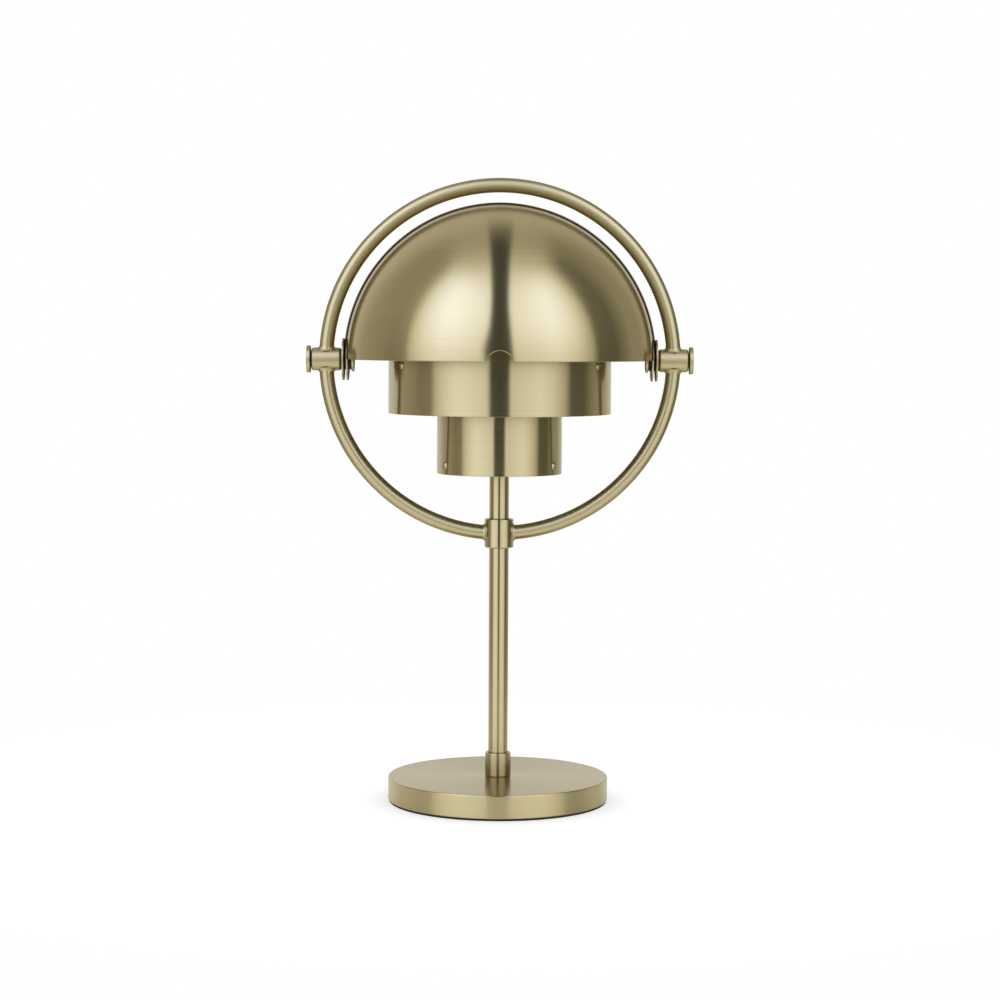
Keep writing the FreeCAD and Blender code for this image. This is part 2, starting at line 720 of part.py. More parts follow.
nodes = {
    "front_shell": front_shell(),
    "front_ears": ears(front_ear_inner),
    "back_shell": back_shell(),
    "back_ears": ears(back_ear_inner),
    "left_pivot_bolt": pivot_bolt(-1),
    "right_pivot_bolt": pivot_bolt(1),
    "outer_washers": pivot_rings(outer_washer_diameter, sleeve_outer, outer_washer_outer),
    "sleeve_washers": pivot_rings(pivot_washer_diameter, sleeve_washer_inner, sleeve_inner),
    "shade_washers": pivot_rings(pivot_washer_diameter, front_ear_outer + face_fit,
                                 back_ear_inner - face_fit),
    "nut_washers": pivot_rings(pivot_washer_diameter, nut_washer_inner, nut_washer_outer),
    "pivot_nuts": pivot_rings(pivot_nut_diameter, pivot_nut_inner, nut_washer_inner),
    "left_sleeve": sleeve(-1),
    "right_sleeve": sleeve(1),
    "ring_top_arc": ring_arc(0, 180),
    "ring_left_arc": ring_arc(180, 90),
    "ring_right_arc": ring_arc(270, 90),
    "ring_collar": ring_collar(),
    "ring_collar_screw": collar_screw_hole(collar_screw_diameter / 2),
    "stem_tube": stem_tube(),
    "base_collar": base_collar(),
    "upper_shade": cylinder_shade(upper_shade_diameter, upper_shade_bottom, upper_shade_top,
                                  upper_rivet_height),
    "upper_spider": upper_spider(),
    "upper_rivets": rivets(upper_shade_diameter, upper_rivet_height),
    "lower_shade": cylinder_shade(lower_shade_diameter, lower_shade_bottom, lower_shade_top,
                                  lower_rivet_height),
    "lower_spider": lower_spider(),
    "lower_rivets": rivets(lower_shade_diameter, lower_rivet_height),
    "spider_hub": spider_hub(),
    "spider_hub_screw": hub_grub(collar_screw_diameter / 2),
    "spider_screws": screws_up(hub_screw_circle, lower_spider_bottom, hub_screw_depth),
    "lamp_housing": lamp_housing(),
    "housing_screws": screws_up(flange_screw_circle, upper_spider_bottom, flange_screw_depth),
    "led_board": led_board(),
    "led_chips": led_chips(),
    "diffuser": diffuser(),
    "lamp_leads": lamp_leads(),
    "base_weight": base_weight(),
    "base_pad": cylinder(base_radius - pad_inset, 0, pad_thickness),
    "base_cover": base_cover(),
    "cover_screws": cover_screws(),
    "stem_nut": stem_nut(),
    "battery": battery(),
    "battery_leads": battery_leads(),
    "control_board": control_board(),
    "board_screws": board_screws(),
    "charging_socket": charging_socket(),
    "dimmer_switch": dimmer_switch(),
    "dimmer_button": dimmer_button(),
    "button_guide": button_guide(),
}

os.makedirs("parts", exist_ok=True)
for name, shape in nodes.items():
    if not shape.isValid() or not shape.Solids:
        raise RuntimeError(f"{name} is not a valid solid")
    shape.exportStep(f"parts/{name}.step")
    print(f"{name}: {len(shape.Solids)} solid(s), {shape.Volume:.1f} mm3")
print(f"height {hinge_height + ring_radius + ring_tube_radius:.2f}, width {2 * bolt_head_outer:.2f}, "
      f"base {2 * base_radius:.2f} x {base_top:.2f}")
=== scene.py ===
import math
import bmesh
import bpy
from mathutils import Matrix, Vector


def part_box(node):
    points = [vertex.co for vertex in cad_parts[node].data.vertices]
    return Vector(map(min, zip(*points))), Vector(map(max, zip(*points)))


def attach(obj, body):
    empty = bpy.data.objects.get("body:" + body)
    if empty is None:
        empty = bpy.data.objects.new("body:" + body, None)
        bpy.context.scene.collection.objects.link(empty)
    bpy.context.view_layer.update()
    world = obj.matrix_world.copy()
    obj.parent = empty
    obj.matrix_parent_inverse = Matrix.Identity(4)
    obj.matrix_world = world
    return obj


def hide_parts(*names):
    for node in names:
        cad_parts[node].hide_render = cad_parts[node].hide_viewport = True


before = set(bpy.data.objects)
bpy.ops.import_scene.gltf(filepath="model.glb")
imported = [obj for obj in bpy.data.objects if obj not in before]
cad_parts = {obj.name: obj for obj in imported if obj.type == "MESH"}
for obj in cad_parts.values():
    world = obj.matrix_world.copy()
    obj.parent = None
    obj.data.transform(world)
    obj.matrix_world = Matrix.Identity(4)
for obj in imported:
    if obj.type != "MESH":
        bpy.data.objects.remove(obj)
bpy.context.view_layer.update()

# Dome shade desk lamp. Sizes are in millimetres and angles in degrees; pieces are built upright
# round Z or along a pivot, then scaled to metres when their mesh is made.

hingeHeight = 213.0
upright = Matrix.Identity(4)
brushMap = "brush"                      # UV layer: u follows the brush lines, v runs across them


def pivotPlace(side):
    return Matrix.Translation((0, 0, hingeHeight)) @ Matrix.Rotation(math.radians(90 * side), 4, "Y")


# Outlines and turned pieces.

# Corners are (radius, height, rounding). A rounded corner gets a fine arc, and a point just before
# and after it that keeps the flats beside it flat in shading.
def softOutline(corners, closed):
    points = []
    count = len(corners)
    for index, (radius, height, rounding) in enumerate(corners):
        corner = Vector((radius, height))
        isEnd = not closed and index in (0, count - 1)
        if rounding == 0 or isEnd:
            points.append(corner)
            continue
        before = Vector(corners[index - 1][:2]) - corner
        after = Vector(corners[(index + 1) % count][:2]) - corner
        beforeLength, afterLength = before.length, after.length
        before.normalize()
        after.normalize()
        half = before.angle(after) / 2
        reach = rounding / math.tan(half)
        centre = corner + (before + after).normalized() * rounding / math.sin(half)
        start = corner + before * reach
        end = corner + after * reach
        if beforeLength > reach * 2.4:
            points.append(start + before * reach * 0.35)
        first = start - centre
        sweep = first.angle_signed(end - centre)
        arcSteps = 5
        for step in range(arcSteps + 1):
            turn = -sweep * step / arcSteps
            points.append(centre + Vector((first.x * math.cos(turn) - first.y * math.sin(turn),
                                           first.x * math.sin(turn) + first.y * math.cos(turn))))
        if afterLength > reach * 2.4:
            points.append(end + after * reach * 0.35)
    return points


def hexagonRadius(radius, angle):
    return radius / math.cos((angle + math.pi / 6) % (math.pi / 3) - math.pi / 6)


# Turns an outline round Z. Points with no radius become single poles; from hexFrom on, the rings
# are six-sided (the wrench socket of a grub screw).
def turnedMesh(name, outline, closed, steps, place=upright, hexFrom=None):
    vertices, rings, along = [], [], [0.0]
    for index, point in enumerate(outline):
        if index:
            along.append(along[-1] + (point - outline[index - 1]).length)
        if point.x < 1e-6:
            rings.append([len(vertices)] * steps)
            vertices.append((0, 0, point.y))
            continue
        rings.append(list(range(len(vertices), len(vertices) + steps)))
        for step in range(steps):
            angle = 2 * math.pi * step / steps
            radius = point.x
            if hexFrom is not None and index >= hexFrom:
                radius = hexagonRadius(point.x, angle)
            vertices.append((radius * math.cos(angle), radius * math.sin(angle), point.y))
    if closed:
        rings.append(rings[0])
        along.append(along[-1] + (outline[0] - outline[-1]).length)
    faces, corners = [], []
    for row in range(len(rings) - 1):
        low, high = rings[row], rings[row + 1]
        for step in range(steps):
            after = (step + 1) % steps
            around = [(low[step], step, row), (low[after], step + 1, row),
                      (high[after], step + 1, row + 1), (high[step], step, row + 1)]
            kept = [item for number, item in enumerate(around) if item[0] != around[number - 1][0]]
            if len(kept) < 3:
                continue
            faces.append([item[0] for item in kept])
            corners += [(item[1] / steps, along[item[2]] / 100) for item in kept]
    return meshPiece(name, vertices, faces, corners, place)


def meshPiece(name, vertices, faces, corners, place=upright, sharpAngle=40):
    mesh = bpy.data.meshes.new(name)
    mesh.from_pydata([Vector(vertex) for vertex in vertices], [], faces)
    layer = mesh.uv_layers.new(name=brushMap)
    for loop, corner in zip(layer.data, corners):
        loop.uv = corner
    mesh.transform(Matrix.Scale(0.001, 4) @ place)
    piece = bpy.data.objects.new(name, mesh)
    bpy.context.scene.collection.objects.link(piece)
    finishMesh(piece, sharpAngle)
    return piece


def finishMesh(piece, sharpAngle=40):
    shape = bmesh.new()
    shape.from_mesh(piece.data)
    bmesh.ops.recalc_face_normals(shape, faces=shape.faces)
    shape.to_mesh(piece.data)
    shape.free()
    piece.data.shade_smooth()
    piece.data.set_sharp_from_angle(angle=math.radians(sharpAngle))


# Replaces a piece's mesh by what its modifiers make of it, and takes the modifiers off.
def bakeModifiers(piece):
    graph = bpy.context.evaluated_depsgraph_get()
    baked = bpy.data.meshes.new_from_object(piece.evaluated_get(graph), preserve_all_data_layers=True,
                                            depsgraph=graph)
    piece.modifiers.clear()
    piece.data = baked


def cutPiece(piece, cutters):
    for cutter in cutters:
        modifier = piece.modifiers.new("cut", "BOOLEAN")
        modifier.operation = "DIFFERENCE"
        modifier.solver = "EXACT"
        modifier.object = cutter
    bakeModifiers(piece)
    for cutter in cutters:
        bpy.data.objects.remove(cutter)
    finishMesh(piece, 32)


def boxCutter(low, high, place=upright):
    xs, ys, zs = zip(low, high)
    vertices = [(x, y, z) for x in xs for y in ys for z in zs]
    faces = [(0, 1, 3, 2), (4, 6, 7, 5), (0, 4, 5, 1), (2, 3, 7, 6), (0, 2, 6, 4), (1, 5, 7, 3)]
    return meshPiece("cutter", vertices, faces, [(0, 0)] * 24, place)


def wear(piece, material, body, slot, *nodes):
    piece.data.materials.clear()
    piece.data.materials.append(material)
    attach(piece, body)
    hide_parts(*nodes)
    return piece


# Materials.

def startMaterial(name):
    material = bpy.data.materials.new(name)
    material.use_nodes = True
    tree = material.node_tree
    return material, tree.nodes, tree.links, tree.nodes["Principled BSDF"]


def scaledNoise(nodes, links, vector, scale, detail):
    noise = nodes.new("ShaderNodeTexNoise")
    noise.inputs["Scale"].default_value = scale
    noise.inputs["Detail"].default_value = detail
    links.new(vector, noise.inputs["Vector"])
    return noise.outputs["Fac"]


def between(nodes, links, factor, low, high):
    spread = nodes.new("ShaderNodeMapRange")
    spread.inputs["From Min"].default_value = 0.3
    spread.inputs["From Max"].default_value = 0.7
    spread.inputs["To Min"].default_value = low
    spread.inputs["To Max"].default_value = high
    links.new(factor, spread.inputs["Value"])
    return spread.outputs["Result"]


def blendColour(nodes, links, factor, low, high):
    mix = nodes.new("ShaderNodeMix")
    mix.data_type = "RGBA"
    mix.inputs["A"].default_value = (*low, 1)
    mix.inputs["B"].default_value = (*high, 1)
    links.new(factor, mix.inputs["Factor"])
    return mix.outputs["Result"]


# Gives a function that adds math nodes to one tree.
def mathIn(nodes, links):
    def calc(operation, first, second=None):
        node = nodes.new("ShaderNodeMath")
        node.operation = operation
        for socket, value in zip(node.inputs, (first, second)):
            if value is None:
                continue
            if isinstance(value, (int, float)):
                socket.default_value = value
            else:
                links.new(value, socket)
        return node.outputs[0]
    return calc


def coordParts(nodes, links, output="Object"):
    place = nodes.new("ShaderNodeTexCoord")
    part = nodes.new("ShaderNodeSeparateXYZ")
    links.new(place.outputs[output], part.inputs[0])
    return part.outputs


def lengthOf(nodes, links, first, second):
    calc = mathIn(nodes, links)
    return calc("SQRT", calc("ADD", calc("POWER", first, 2.0), calc("POWER", second, 2.0)))


def tinted(colour, amount):
    return tuple(channel * amount for channel in colour)


# Lacquered brass, brushed in fine lines round the turned pieces.
brass = {
    "colour": (0.76, 0.655, 0.345),
    "lineContrast": 0.06,               # brightness swing of the brush lines
    "linesPerMillimetre": 2.2,
    "lineDrift": 14,                    # how fast a line changes along its length, per metre
    # edgeTint is painted shade: its near-black colour at grazing angles darkens the outlines of the ring
    # and the small round pieces
    "edgeTint": (0.06, 0.04, 0.02, 1),  # of the small round pieces, at grazing angles
    "domeEdgeTint": (0.82, 0.79, 0.75, 1),
    # name: (roughness, anisotropy)
    "finishes": {
        "shellBrass": (0.185, 0.9),
        "shadeBrass": (0.19, 0.95),
        "fittingBrass": (0.34, 0.3),
        "baseBrass": (0.22, 0.75),
    },
    "ringRoughness": (0.35, 0.39),
    "ringAnisotropy": 0.6,
}


# Brass whose colour and gloss follow the brush lines along the given coordinates.
def brushTone(nodes, links, shader, parts, low, high):
    lineCoord = nodes.new("ShaderNodeCombineXYZ")
    for part, socket in zip(parts, lineCoord.inputs):
        links.new(part, socket)
    brushLines = scaledNoise(nodes, links, lineCoord.outputs[0], 1.0, 2.0)
    contrast = brass["lineContrast"]
    colour = blendColour(nodes, links, brushLines, tinted(brass["colour"], 1 - contrast),
                         tinted(brass["colour"], 1 + contrast))
    links.new(colour, shader.inputs["Base Color"])
    links.new(between(nodes, links, brushLines, low, high), shader.inputs["Roughness"])
    shader.inputs["Metallic"].default_value = 1


def brushedBrass(name, edgeTint=None):
    roughness, anisotropy = brass["finishes"][name]
    material, nodes, links, shader = startMaterial(name)
    calc = mathIn(nodes, links)
    uv = nodes.new("ShaderNodeUVMap")
    uv.uv_map = brushMap
    across = nodes.new("ShaderNodeSeparateXYZ")
    links.new(uv.outputs["UV"], across.inputs[0])
    x, y, z = coordParts(nodes, links)
    parts = (calc("MULTIPLY", across.outputs["Y"], 100 * brass["linesPerMillimetre"]),
             calc("MULTIPLY", x, brass["lineDrift"]), calc("MULTIPLY", y, brass["lineDrift"]))
    brushTone(nodes, links, shader, parts, roughness * 0.9, roughness * 1.1)
    tangent = nodes.new("ShaderNodeTangent")
    tangent.direction_type = "UV_MAP"
    tangent.uv_map = brushMap
    links.new(tangent.outputs[0], shader.inputs["Tangent"])
    shader.inputs["Anisotropic"].default_value = anisotropy
    shader.inputs["Anisotropic Rotation"].default_value = 0.25
    if edgeTint:
        shader.inputs["Specular Tint"].default_value = edgeTint
    return material


# Painted shade: the back shell's rim at the seam is coloured darker, so that it shows as a thin dark line
# between the shells.
seam = {
    "shade": 0.5,
    "reach": 0.004,                     # metres each side of the lamp's middle plane
    "facing": 0.4,                      # share of the normal that points forward, at least
}


def paintSeamShade(material):
    nodes, links = material.node_tree.nodes, material.node_tree.links
    calc = mathIn(nodes, links)
    shader = nodes["Principled BSDF"]
    near = calc("LESS_THAN", calc("ABSOLUTE", coordParts(nodes, links)[1]), seam["reach"])
    forward = calc("LESS_THAN", coordParts(nodes, links, "Normal")[1], -seam["facing"])
    shade = nodes.new("ShaderNodeMix")
    shade.data_type = "RGBA"
    links.new(calc("MULTIPLY", near, forward), shade.inputs["Factor"])
    links.new(shader.inputs["Base Color"].links[0].from_socket, shade.inputs["A"])
    shade.inputs["B"].default_value = (*tinted(brass["colour"], seam["shade"]), 1)
    links.new(shade.outputs["Result"], shader.inputs["Base Color"])


# Brass of the bent ring, polished along its length: the lines keep their distance from the ring's
# centre and from its plane.
def ringBrass():
    material, nodes, links, shader = startMaterial("ringBrass")
    calc = mathIn(nodes, links)
    x, y, z = coordParts(nodes, links)
    rise = calc("SUBTRACT", z, hingeHeight / 1000)
    lineScale = 1000 * brass["linesPerMillimetre"]
    parts = (calc("MULTIPLY", lengthOf(nodes, links, x, rise), lineScale),
             calc("MULTIPLY", y, lineScale), calc("MULTIPLY", rise, brass["lineDrift"]))
    brushTone(nodes, links, shader, parts, *brass["ringRoughness"])
    # painted shade: a near-black tint at grazing angles darkens the ring's outlines
    shader.inputs["Specular Tint"].default_value = brass["edgeTint"]
    along = nodes.new("ShaderNodeCombineXYZ")
    links.new(calc("MULTIPLY", rise, -1.0), along.inputs["X"])
    links.new(x, along.inputs["Z"])
    links.new(along.outputs[0], shader.inputs["Tangent"])
    shader.inputs["Anisotropic"].default_value = brass["ringAnisotropy"]
    return material


# Plain finishes of the other pieces: colour, how far it varies, roughness, metallic, grain size.
plainFinishes = {
    "washer_plastic": ((0.012, 0.012, 0.012), 0.25, 0.42, 0, 2.0),
    "steel": ((0.52, 0.52, 0.50), 0.06, 0.28, 1, 0.6),
    "housing_aluminium": ((0.62, 0.62, 0.61), 0.05, 0.34, 1, 0.5),
    "light_board": ((0.78, 0.78, 0.76), 0.03, 0.5, 0, 3.0),
    "light_chips": ((0.80, 0.62, 0.16), 0.06, 0.35, 0, 1.0),
    "circuit_board": ((0.015, 0.09, 0.035), 0.2, 0.38, 0, 2.0),
    "lead_cover": ((0.30, 0.02, 0.015), 0.15, 0.45, 0, 2.0),
    "battery_wrap": ((0.03, 0.10, 0.26), 0.12, 0.35, 0, 4.0),
    "black_plastic": ((0.014, 0.014, 0.015), 0.2, 0.45, 0, 1.5),
    "button_metal": ((0.60, 0.52, 0.30), 0.05, 0.25, 1, 0.5),
    "black_pad": ((0.010, 0.010, 0.010), 0.35, 0.75, 0, 1.2),
}


def plainFinish(name):
    colour, variation, roughness, metallic, grain = plainFinishes[name]
    material, nodes, links, shader = startMaterial(name + "_finish")
    place = nodes.new("ShaderNodeTexCoord")
    cloud = scaledNoise(nodes, links, place.outputs["Object"], 1000 / grain, 3.0)
    links.new(blendColour(nodes, links, cloud, tinted(colour, 1 - variation),
                          tinted(colour, 1 + variation)), shader.inputs["Base Color"])
    links.new(between(nodes, links, cloud, roughness * 0.92, roughness * 1.08), shader.inputs["Roughness"])
    shader.inputs["Metallic"].default_value = metallic
    return material


def opalFinish():
    material, nodes, links, shader = startMaterial("opal_finish")
    place = nodes.new("ShaderNodeTexCoord")
    cloud = scaledNoise(nodes, links, place.outputs["Object"], 300, 2.0)
    links.new(blendColour(nodes, links, cloud, (0.74, 0.73, 0.70), (0.78, 0.77, 0.74)),
              shader.inputs["Base Color"])
    links.new(between(nodes, links, cloud, 0.36, 0.42), shader.inputs["Roughness"])
    shader.inputs["Subsurface Weight"].default_value = 0.3
    shader.inputs["Subsurface Radius"].default_value = (0.003, 0.003, 0.003)
    shader.inputs["Subsurface Scale"].default_value = 1.0
    return material


finishes = {slot: plainFinish(slot) for slot in plainFinishes}
finishes["opal_diffuser"] = opalFinish()
shellBrass = brushedBrass("shellBrass", brass["domeEdgeTint"])
# painted shade on the shells' rim at the seam
paintSeamShade(shellBrass)
shadeBrass = brushedBrass("shadeBrass")
# painted shade: the fittings get the near-black grazing tint that darkens their outlines
fittingBrass = brushedBrass("fittingBrass", brass["edgeTint"])
baseBrass = brushedBrass("baseBrass")
tubeBrass = ringBrass()
finishes["brushed_brass"] = fittingBrass
print("materials made")


# Swinging shells.

frontSheet = {"radius": 73.73, "thickness": 0.65, "endDistance": 10.0, "endFace": 73.2}
backSheet = {"radius": 74.9, "thickness": 0.65, "endDistance": 5.4, "endFace": 74.5}
shellShape = {
    "sweep": 91.5,
    "notchRadius": 6.1,
    "notchCentre": -1.1,                # above the lower edge
    "rimDepth": 0.28,                   # rounding of the rims, through the sheet
    "rimWidth": 0.5,                    # and along it
    "rows": 60,
    "columns": 54,                      # on each side of the notch
    "notchColumns": 28,
}


def notchRise(x):
    inside = shellShape["notchRadius"] ** 2 - x ** 2
    if inside <= shellShape["notchCentre"] ** 2:
        return 0.0
    return shellShape["notchCentre"] + math.sqrt(inside)


# Places along the hinge line as angles from the middle, close together over the notch and at the ends.
def shellColumns(radius, endAngle):
    notchHalf = math.sqrt(shellShape["notchRadius"] ** 2 - shellShape["notchCentre"] ** 2)
    widest = math.asin(notchHalf / shellShape["notchRadius"])
    half = shellShape["notchColumns"] // 2
    middle = [math.asin(shellShape["notchRadius"] * math.sin(widest * step / half) / radius)
              for step in range(-half, half + 1)]
    start = middle[-1]
    support = [start + 0.15 / radius, start + 0.6 / radius]
    span = endAngle - start
    count = shellShape["columns"]
    side = support + [start + span * step / count for step in range(1, count)]
    side += [endAngle - 0.5 / radius, endAngle - 0.12 / radius, endAngle]
    return [-angle for angle in reversed(side)] + middle + side


# One section through the sheet: up the outer face, over the top rim, down the inner face, under
# the lower rim. Returned as (distance from the ball's centre, angle above the lower edge's plane).
def sheetSection(sheet, angle, innerAngle):
    outer = sheet["radius"]
    inner = outer - sheet["thickness"]
    rounding = shellShape["rimDepth"]
    width = shellShape["rimWidth"]
    top = math.radians(shellShape["sweep"])

    def above(ball, turn, height):
        return math.asin(height / (ball * math.cos(turn)))

    def face(ball, turn):
        foot = notchRise(ball * math.sin(turn)) + width
        span = ball * math.cos(turn)
        low = above(ball, turn, foot)
        high = top - rounding / span
        rows = shellShape["rows"]
        angles = [low, low + 0.12 / span, low + 0.5 / span]
        angles += [low + (high - low) * step / rows for step in range(1, rows)]
        angles += [high - 0.5 / span, high - 0.12 / span, high]
        return [(ball, value) for value in angles]

    def rim(ball, turn, bends, upper):
        foot = notchRise(ball * math.sin(turn)) + width
        points = []
        for degrees in bends:
            bend = math.radians(degrees)
            radius = ball + rounding * math.cos(bend)
            if upper:
                value = top - rounding / (radius * math.cos(turn)) * (1 - math.sin(bend))
            else:
                value = above(radius, turn, foot - width * math.sin(bend))
            points.append((radius, value))
        return points

    outerBends = (22.5, 45, 67.5, 90)
    innerBends = (90, 112.5, 135, 157.5)
    loop = [(*point, angle) for point in face(outer, angle)]
    loop += [(*point, angle) for point in rim(outer - rounding, angle, outerBends, True)]
    loop += [(*point, innerAngle) for point in rim(inner + rounding, innerAngle, innerBends, True)]
    loop += [(*point, innerAngle) for point in reversed(face(inner, innerAngle))]
    loop += [(*point, innerAngle) for point in rim(inner + rounding, innerAngle, innerBends[::-1], False)]
    loop += [(*point, angle) for point in rim(outer - rounding, angle, outerBends[::-1], False)]
    return loop


def shellPiece(name, sheet, facing):
    outer = sheet["radius"]
    inner = outer - sheet["thickness"]
    outerEnd = math.acos(sheet["endDistance"] / outer)
    innerEnd = math.acos(sheet["endDistance"] / inner)
    vertices, loops = [], []
    for angle in shellColumns(outer, outerEnd):
        section = sheetSection(sheet, angle, angle * innerEnd / outerEnd)
        loops.append(list(range(len(vertices), len(vertices) + len(section))))
        for ball, rise, turn in section:
            distance = ball * math.cos(turn)
            x = max(-sheet["endFace"], min(sheet["endFace"], ball * math.sin(turn)))
            vertices.append((x, facing * distance * math.cos(rise),
                             hingeHeight + distance * math.sin(rise)))
    count = len(loops[0])
    faces = []
    for left, right in zip(loops, loops[1:]):
        for row in range(count):
            after = (row + 1) % count
            faces.append((left[row], left[after], right[after], right[row]))
    # a strip across the sheet closes each end; the section is the same backwards from its middle
    rimPoints = 4
    facePoints = count // 2 - 2 * rimPoints
    opposite = 2 * (facePoints + rimPoints) - 1
    for loop in (loops[0], loops[-1]):
        for row in range(-rimPoints, facePoints + rimPoints - 1):
            faces.append((loop[row], loop[row + 1], loop[opposite - row - 1], loop[opposite - row]))
    corners = []
    for face in faces:
        for vertex in face:
            x, y, z = vertices[vertex]
            lift = max(-1.0, min(1.0, (z - hingeHeight) / outer))
            around = math.atan2(x, abs(y) + 0.5)
            corners.append((around / (2 * math.pi), outer * math.acos(lift) / 100))
    return meshPiece(name, vertices, faces, corners)


frontShell = shellPiece("frontShellSheet", frontSheet, -1)
wear(frontShell, shellBrass, "front_shade", "brushed_brass", "front_shell")
backShell = shellPiece("backShellSheet", backSheet, 1)
wear(backShell, shellBrass, "back_shade", "brushed_brass", "back_shell")
print("shells made")


# Ears, bolts and rings on the pivots.

pivot = {
    "steps": 72,
    "edge": 0.12,                       # rounding of thin rings
    "earRadius": 10.0,
    "earHole": 2.06,
    "earSheet": 0.8,
    "frontEar": 72.4,                   # inner faces, from the middle of the lamp
    "backEar": 74.5,
    "ringHole": 2.05,
    "sleeveRadius": 5.45,
    "sleeve": (76.25, 90.05),
    "sleeveChamfer": 0.5,
    "boltRadius": 2.0,
    "boltHead": (90.7, 92.45),
    "boltHeadRadius": 6.45,
    "boltHeadEdge": 0.22,
    "slotWidth": 1.2,
    "slotDepth": 0.7,
    "boltEnd": 69.75,
}
# name: (CAD node, radius, inner face, outer face, edge rounding, finish)
pivotRings = {
    "OuterWasher": ("outer_washers", 3.3, 90.05, 90.7, 0.12, "washer_plastic"),
    "SleeveWasher": ("sleeve_washers", 5.0, 75.35, 76.25, 0.15, "washer_plastic"),
    "ShadeWasher": ("shade_washers", 5.0, 73.25, 74.45, 0.15, "washer_plastic"),
    "NutWasher": ("nut_washers", 5.0, 70.95, 72.35, 0.15, "washer_plastic"),
    "PivotNut": ("pivot_nuts", 5.85, 69.75, 70.95, 0.2, "brushed_brass"),
}


def ringPiece(name, radius, hole, low, high, edge, place):
    corners = [(hole, low, edge), (radius, low, edge), (radius, high, edge), (hole, high, edge)]
    return turnedMesh(name, softOutline(corners, True), True, pivot["steps"], place)


def boltPiece(name, side):
    low, high = pivot["boltHead"]
    edge = pivot["boltHeadEdge"]
    corners = [(0, pivot["boltEnd"], 0), (pivot["boltRadius"], pivot["boltEnd"], 0.2),
               (pivot["boltRadius"], low, 0), (pivot["boltHeadRadius"], low, edge),
               (pivot["boltHeadRadius"], high, edge), (0, high, 0)]
    bolt = turnedMesh(name, softOutline(corners, False), False, pivot["steps"], pivotPlace(side))
    reach = pivot["boltHeadRadius"] * 2
    half = pivot["slotWidth"] / 2
    slot = boxCutter((-reach, -half, high - pivot["slotDepth"]), (reach, half, high + 1), pivotPlace(side))
    cutPiece(bolt, [slot])
    return bolt


def sleevePiece(name, side):
    low, high = pivot["sleeve"]
    chamfer = pivot["sleeveChamfer"]
    radius = pivot["sleeveRadius"]
    hole = pivot["ringHole"]
    corners = [(hole, low, 0.1), (radius - chamfer, low, 0.12), (radius, low + chamfer, 0.3),
               (radius, high - chamfer, 0.3), (radius - chamfer, high, 0.12), (hole, high, 0.1)]
    return turnedMesh(name, softOutline(corners, True), True, pivot["steps"], pivotPlace(side))


for side, word in ((-1, "left"), (1, "right")):
    place = pivotPlace(side)
    for ear, body, node in (("frontEar", "front_shade", "front_ears"),
                            ("backEar", "back_shade", "back_ears")):
        low = pivot[ear]
        disc = ringPiece(word + ear[0].upper() + ear[1:], pivot["earRadius"], pivot["earHole"], low,
                         low + pivot["earSheet"], pivot["edge"], place)
        wear(disc, fittingBrass, body, "brushed_brass", node)
    for ring, (node, radius, low, high, edge, slot) in pivotRings.items():
        piece = ringPiece(word + ring, radius, pivot["ringHole"], low, high, edge, place)
        wear(piece, finishes[slot], "stand", slot, node)
    wear(boltPiece(word + "BoltHead", side), fittingBrass, "stand", "brushed_brass", word + "_pivot_bolt")
    wear(sleevePiece(word + "Sleeve", side), fittingBrass, "stand", "brushed_brass", word + "_sleeve")
print("pivots made")


# Node groups.

def newGroup(name, inputs):
    group = bpy.data.node_groups.new(name, "GeometryNodeTree")
    group.is_modifier = True
    group.interface.new_socket("Geometry", in_out="INPUT", socket_type="NodeSocketGeometry")
    for label, kind in inputs:
        group.interface.new_socket(label, in_out="INPUT", socket_type="NodeSocket" + kind)
    group.interface.new_socket("Geometry", in_out="OUTPUT", socket_type="NodeSocketGeometry")
    return group, group.nodes, group.links, group.nodes.new("NodeGroupInput")


# Ends every group the same way: real geometry, then its material.
def closeGroup(group, geometry, material):
    real = group.nodes.new("GeometryNodeRealizeInstances")
    paint = group.nodes.new("GeometryNodeSetMaterial")
    out = group.nodes.new("NodeGroupOutput")
    group.links.new(geometry, real.inputs[0])
    group.links.new(real.outputs[0], paint.inputs["Geometry"])
    group.links.new(material, paint.inputs["Material"])
    group.links.new(paint.outputs[0], out.inputs[0])


# Repeats the piece's own mesh round Z, at equal steps from a first angle.
def aroundGroup():
    group, nodes, links, given = newGroup("repeatRoundStem", [
        ("Count", "Int"), ("First angle", "Float"), ("Step angle", "Float"), ("Material", "Material")])
    calc = mathIn(nodes, links)
    points = nodes.new("GeometryNodePoints")
    index = nodes.new("GeometryNodeInputIndex")
    links.new(given.outputs["Count"], points.inputs["Count"])
    turned = calc("MULTIPLY", index.outputs[0], given.outputs["Step angle"])
    angle = calc("ADD", turned, given.outputs["First angle"])
    turn = nodes.new("ShaderNodeCombineXYZ")
    links.new(calc("RADIANS", angle), turn.inputs["Z"])
    rotation = nodes.new("FunctionNodeEulerToRotation")
    links.new(turn.outputs[0], rotation.inputs[0])
    place = nodes.new("GeometryNodeInstanceOnPoints")
    links.new(points.outputs[0], place.inputs["Points"])
    links.new(given.outputs["Geometry"], place.inputs["Instance"])
    links.new(rotation.outputs[0], place.inputs["Rotation"])
    closeGroup(group, place.outputs[0], given.outputs["Material"])
    return group


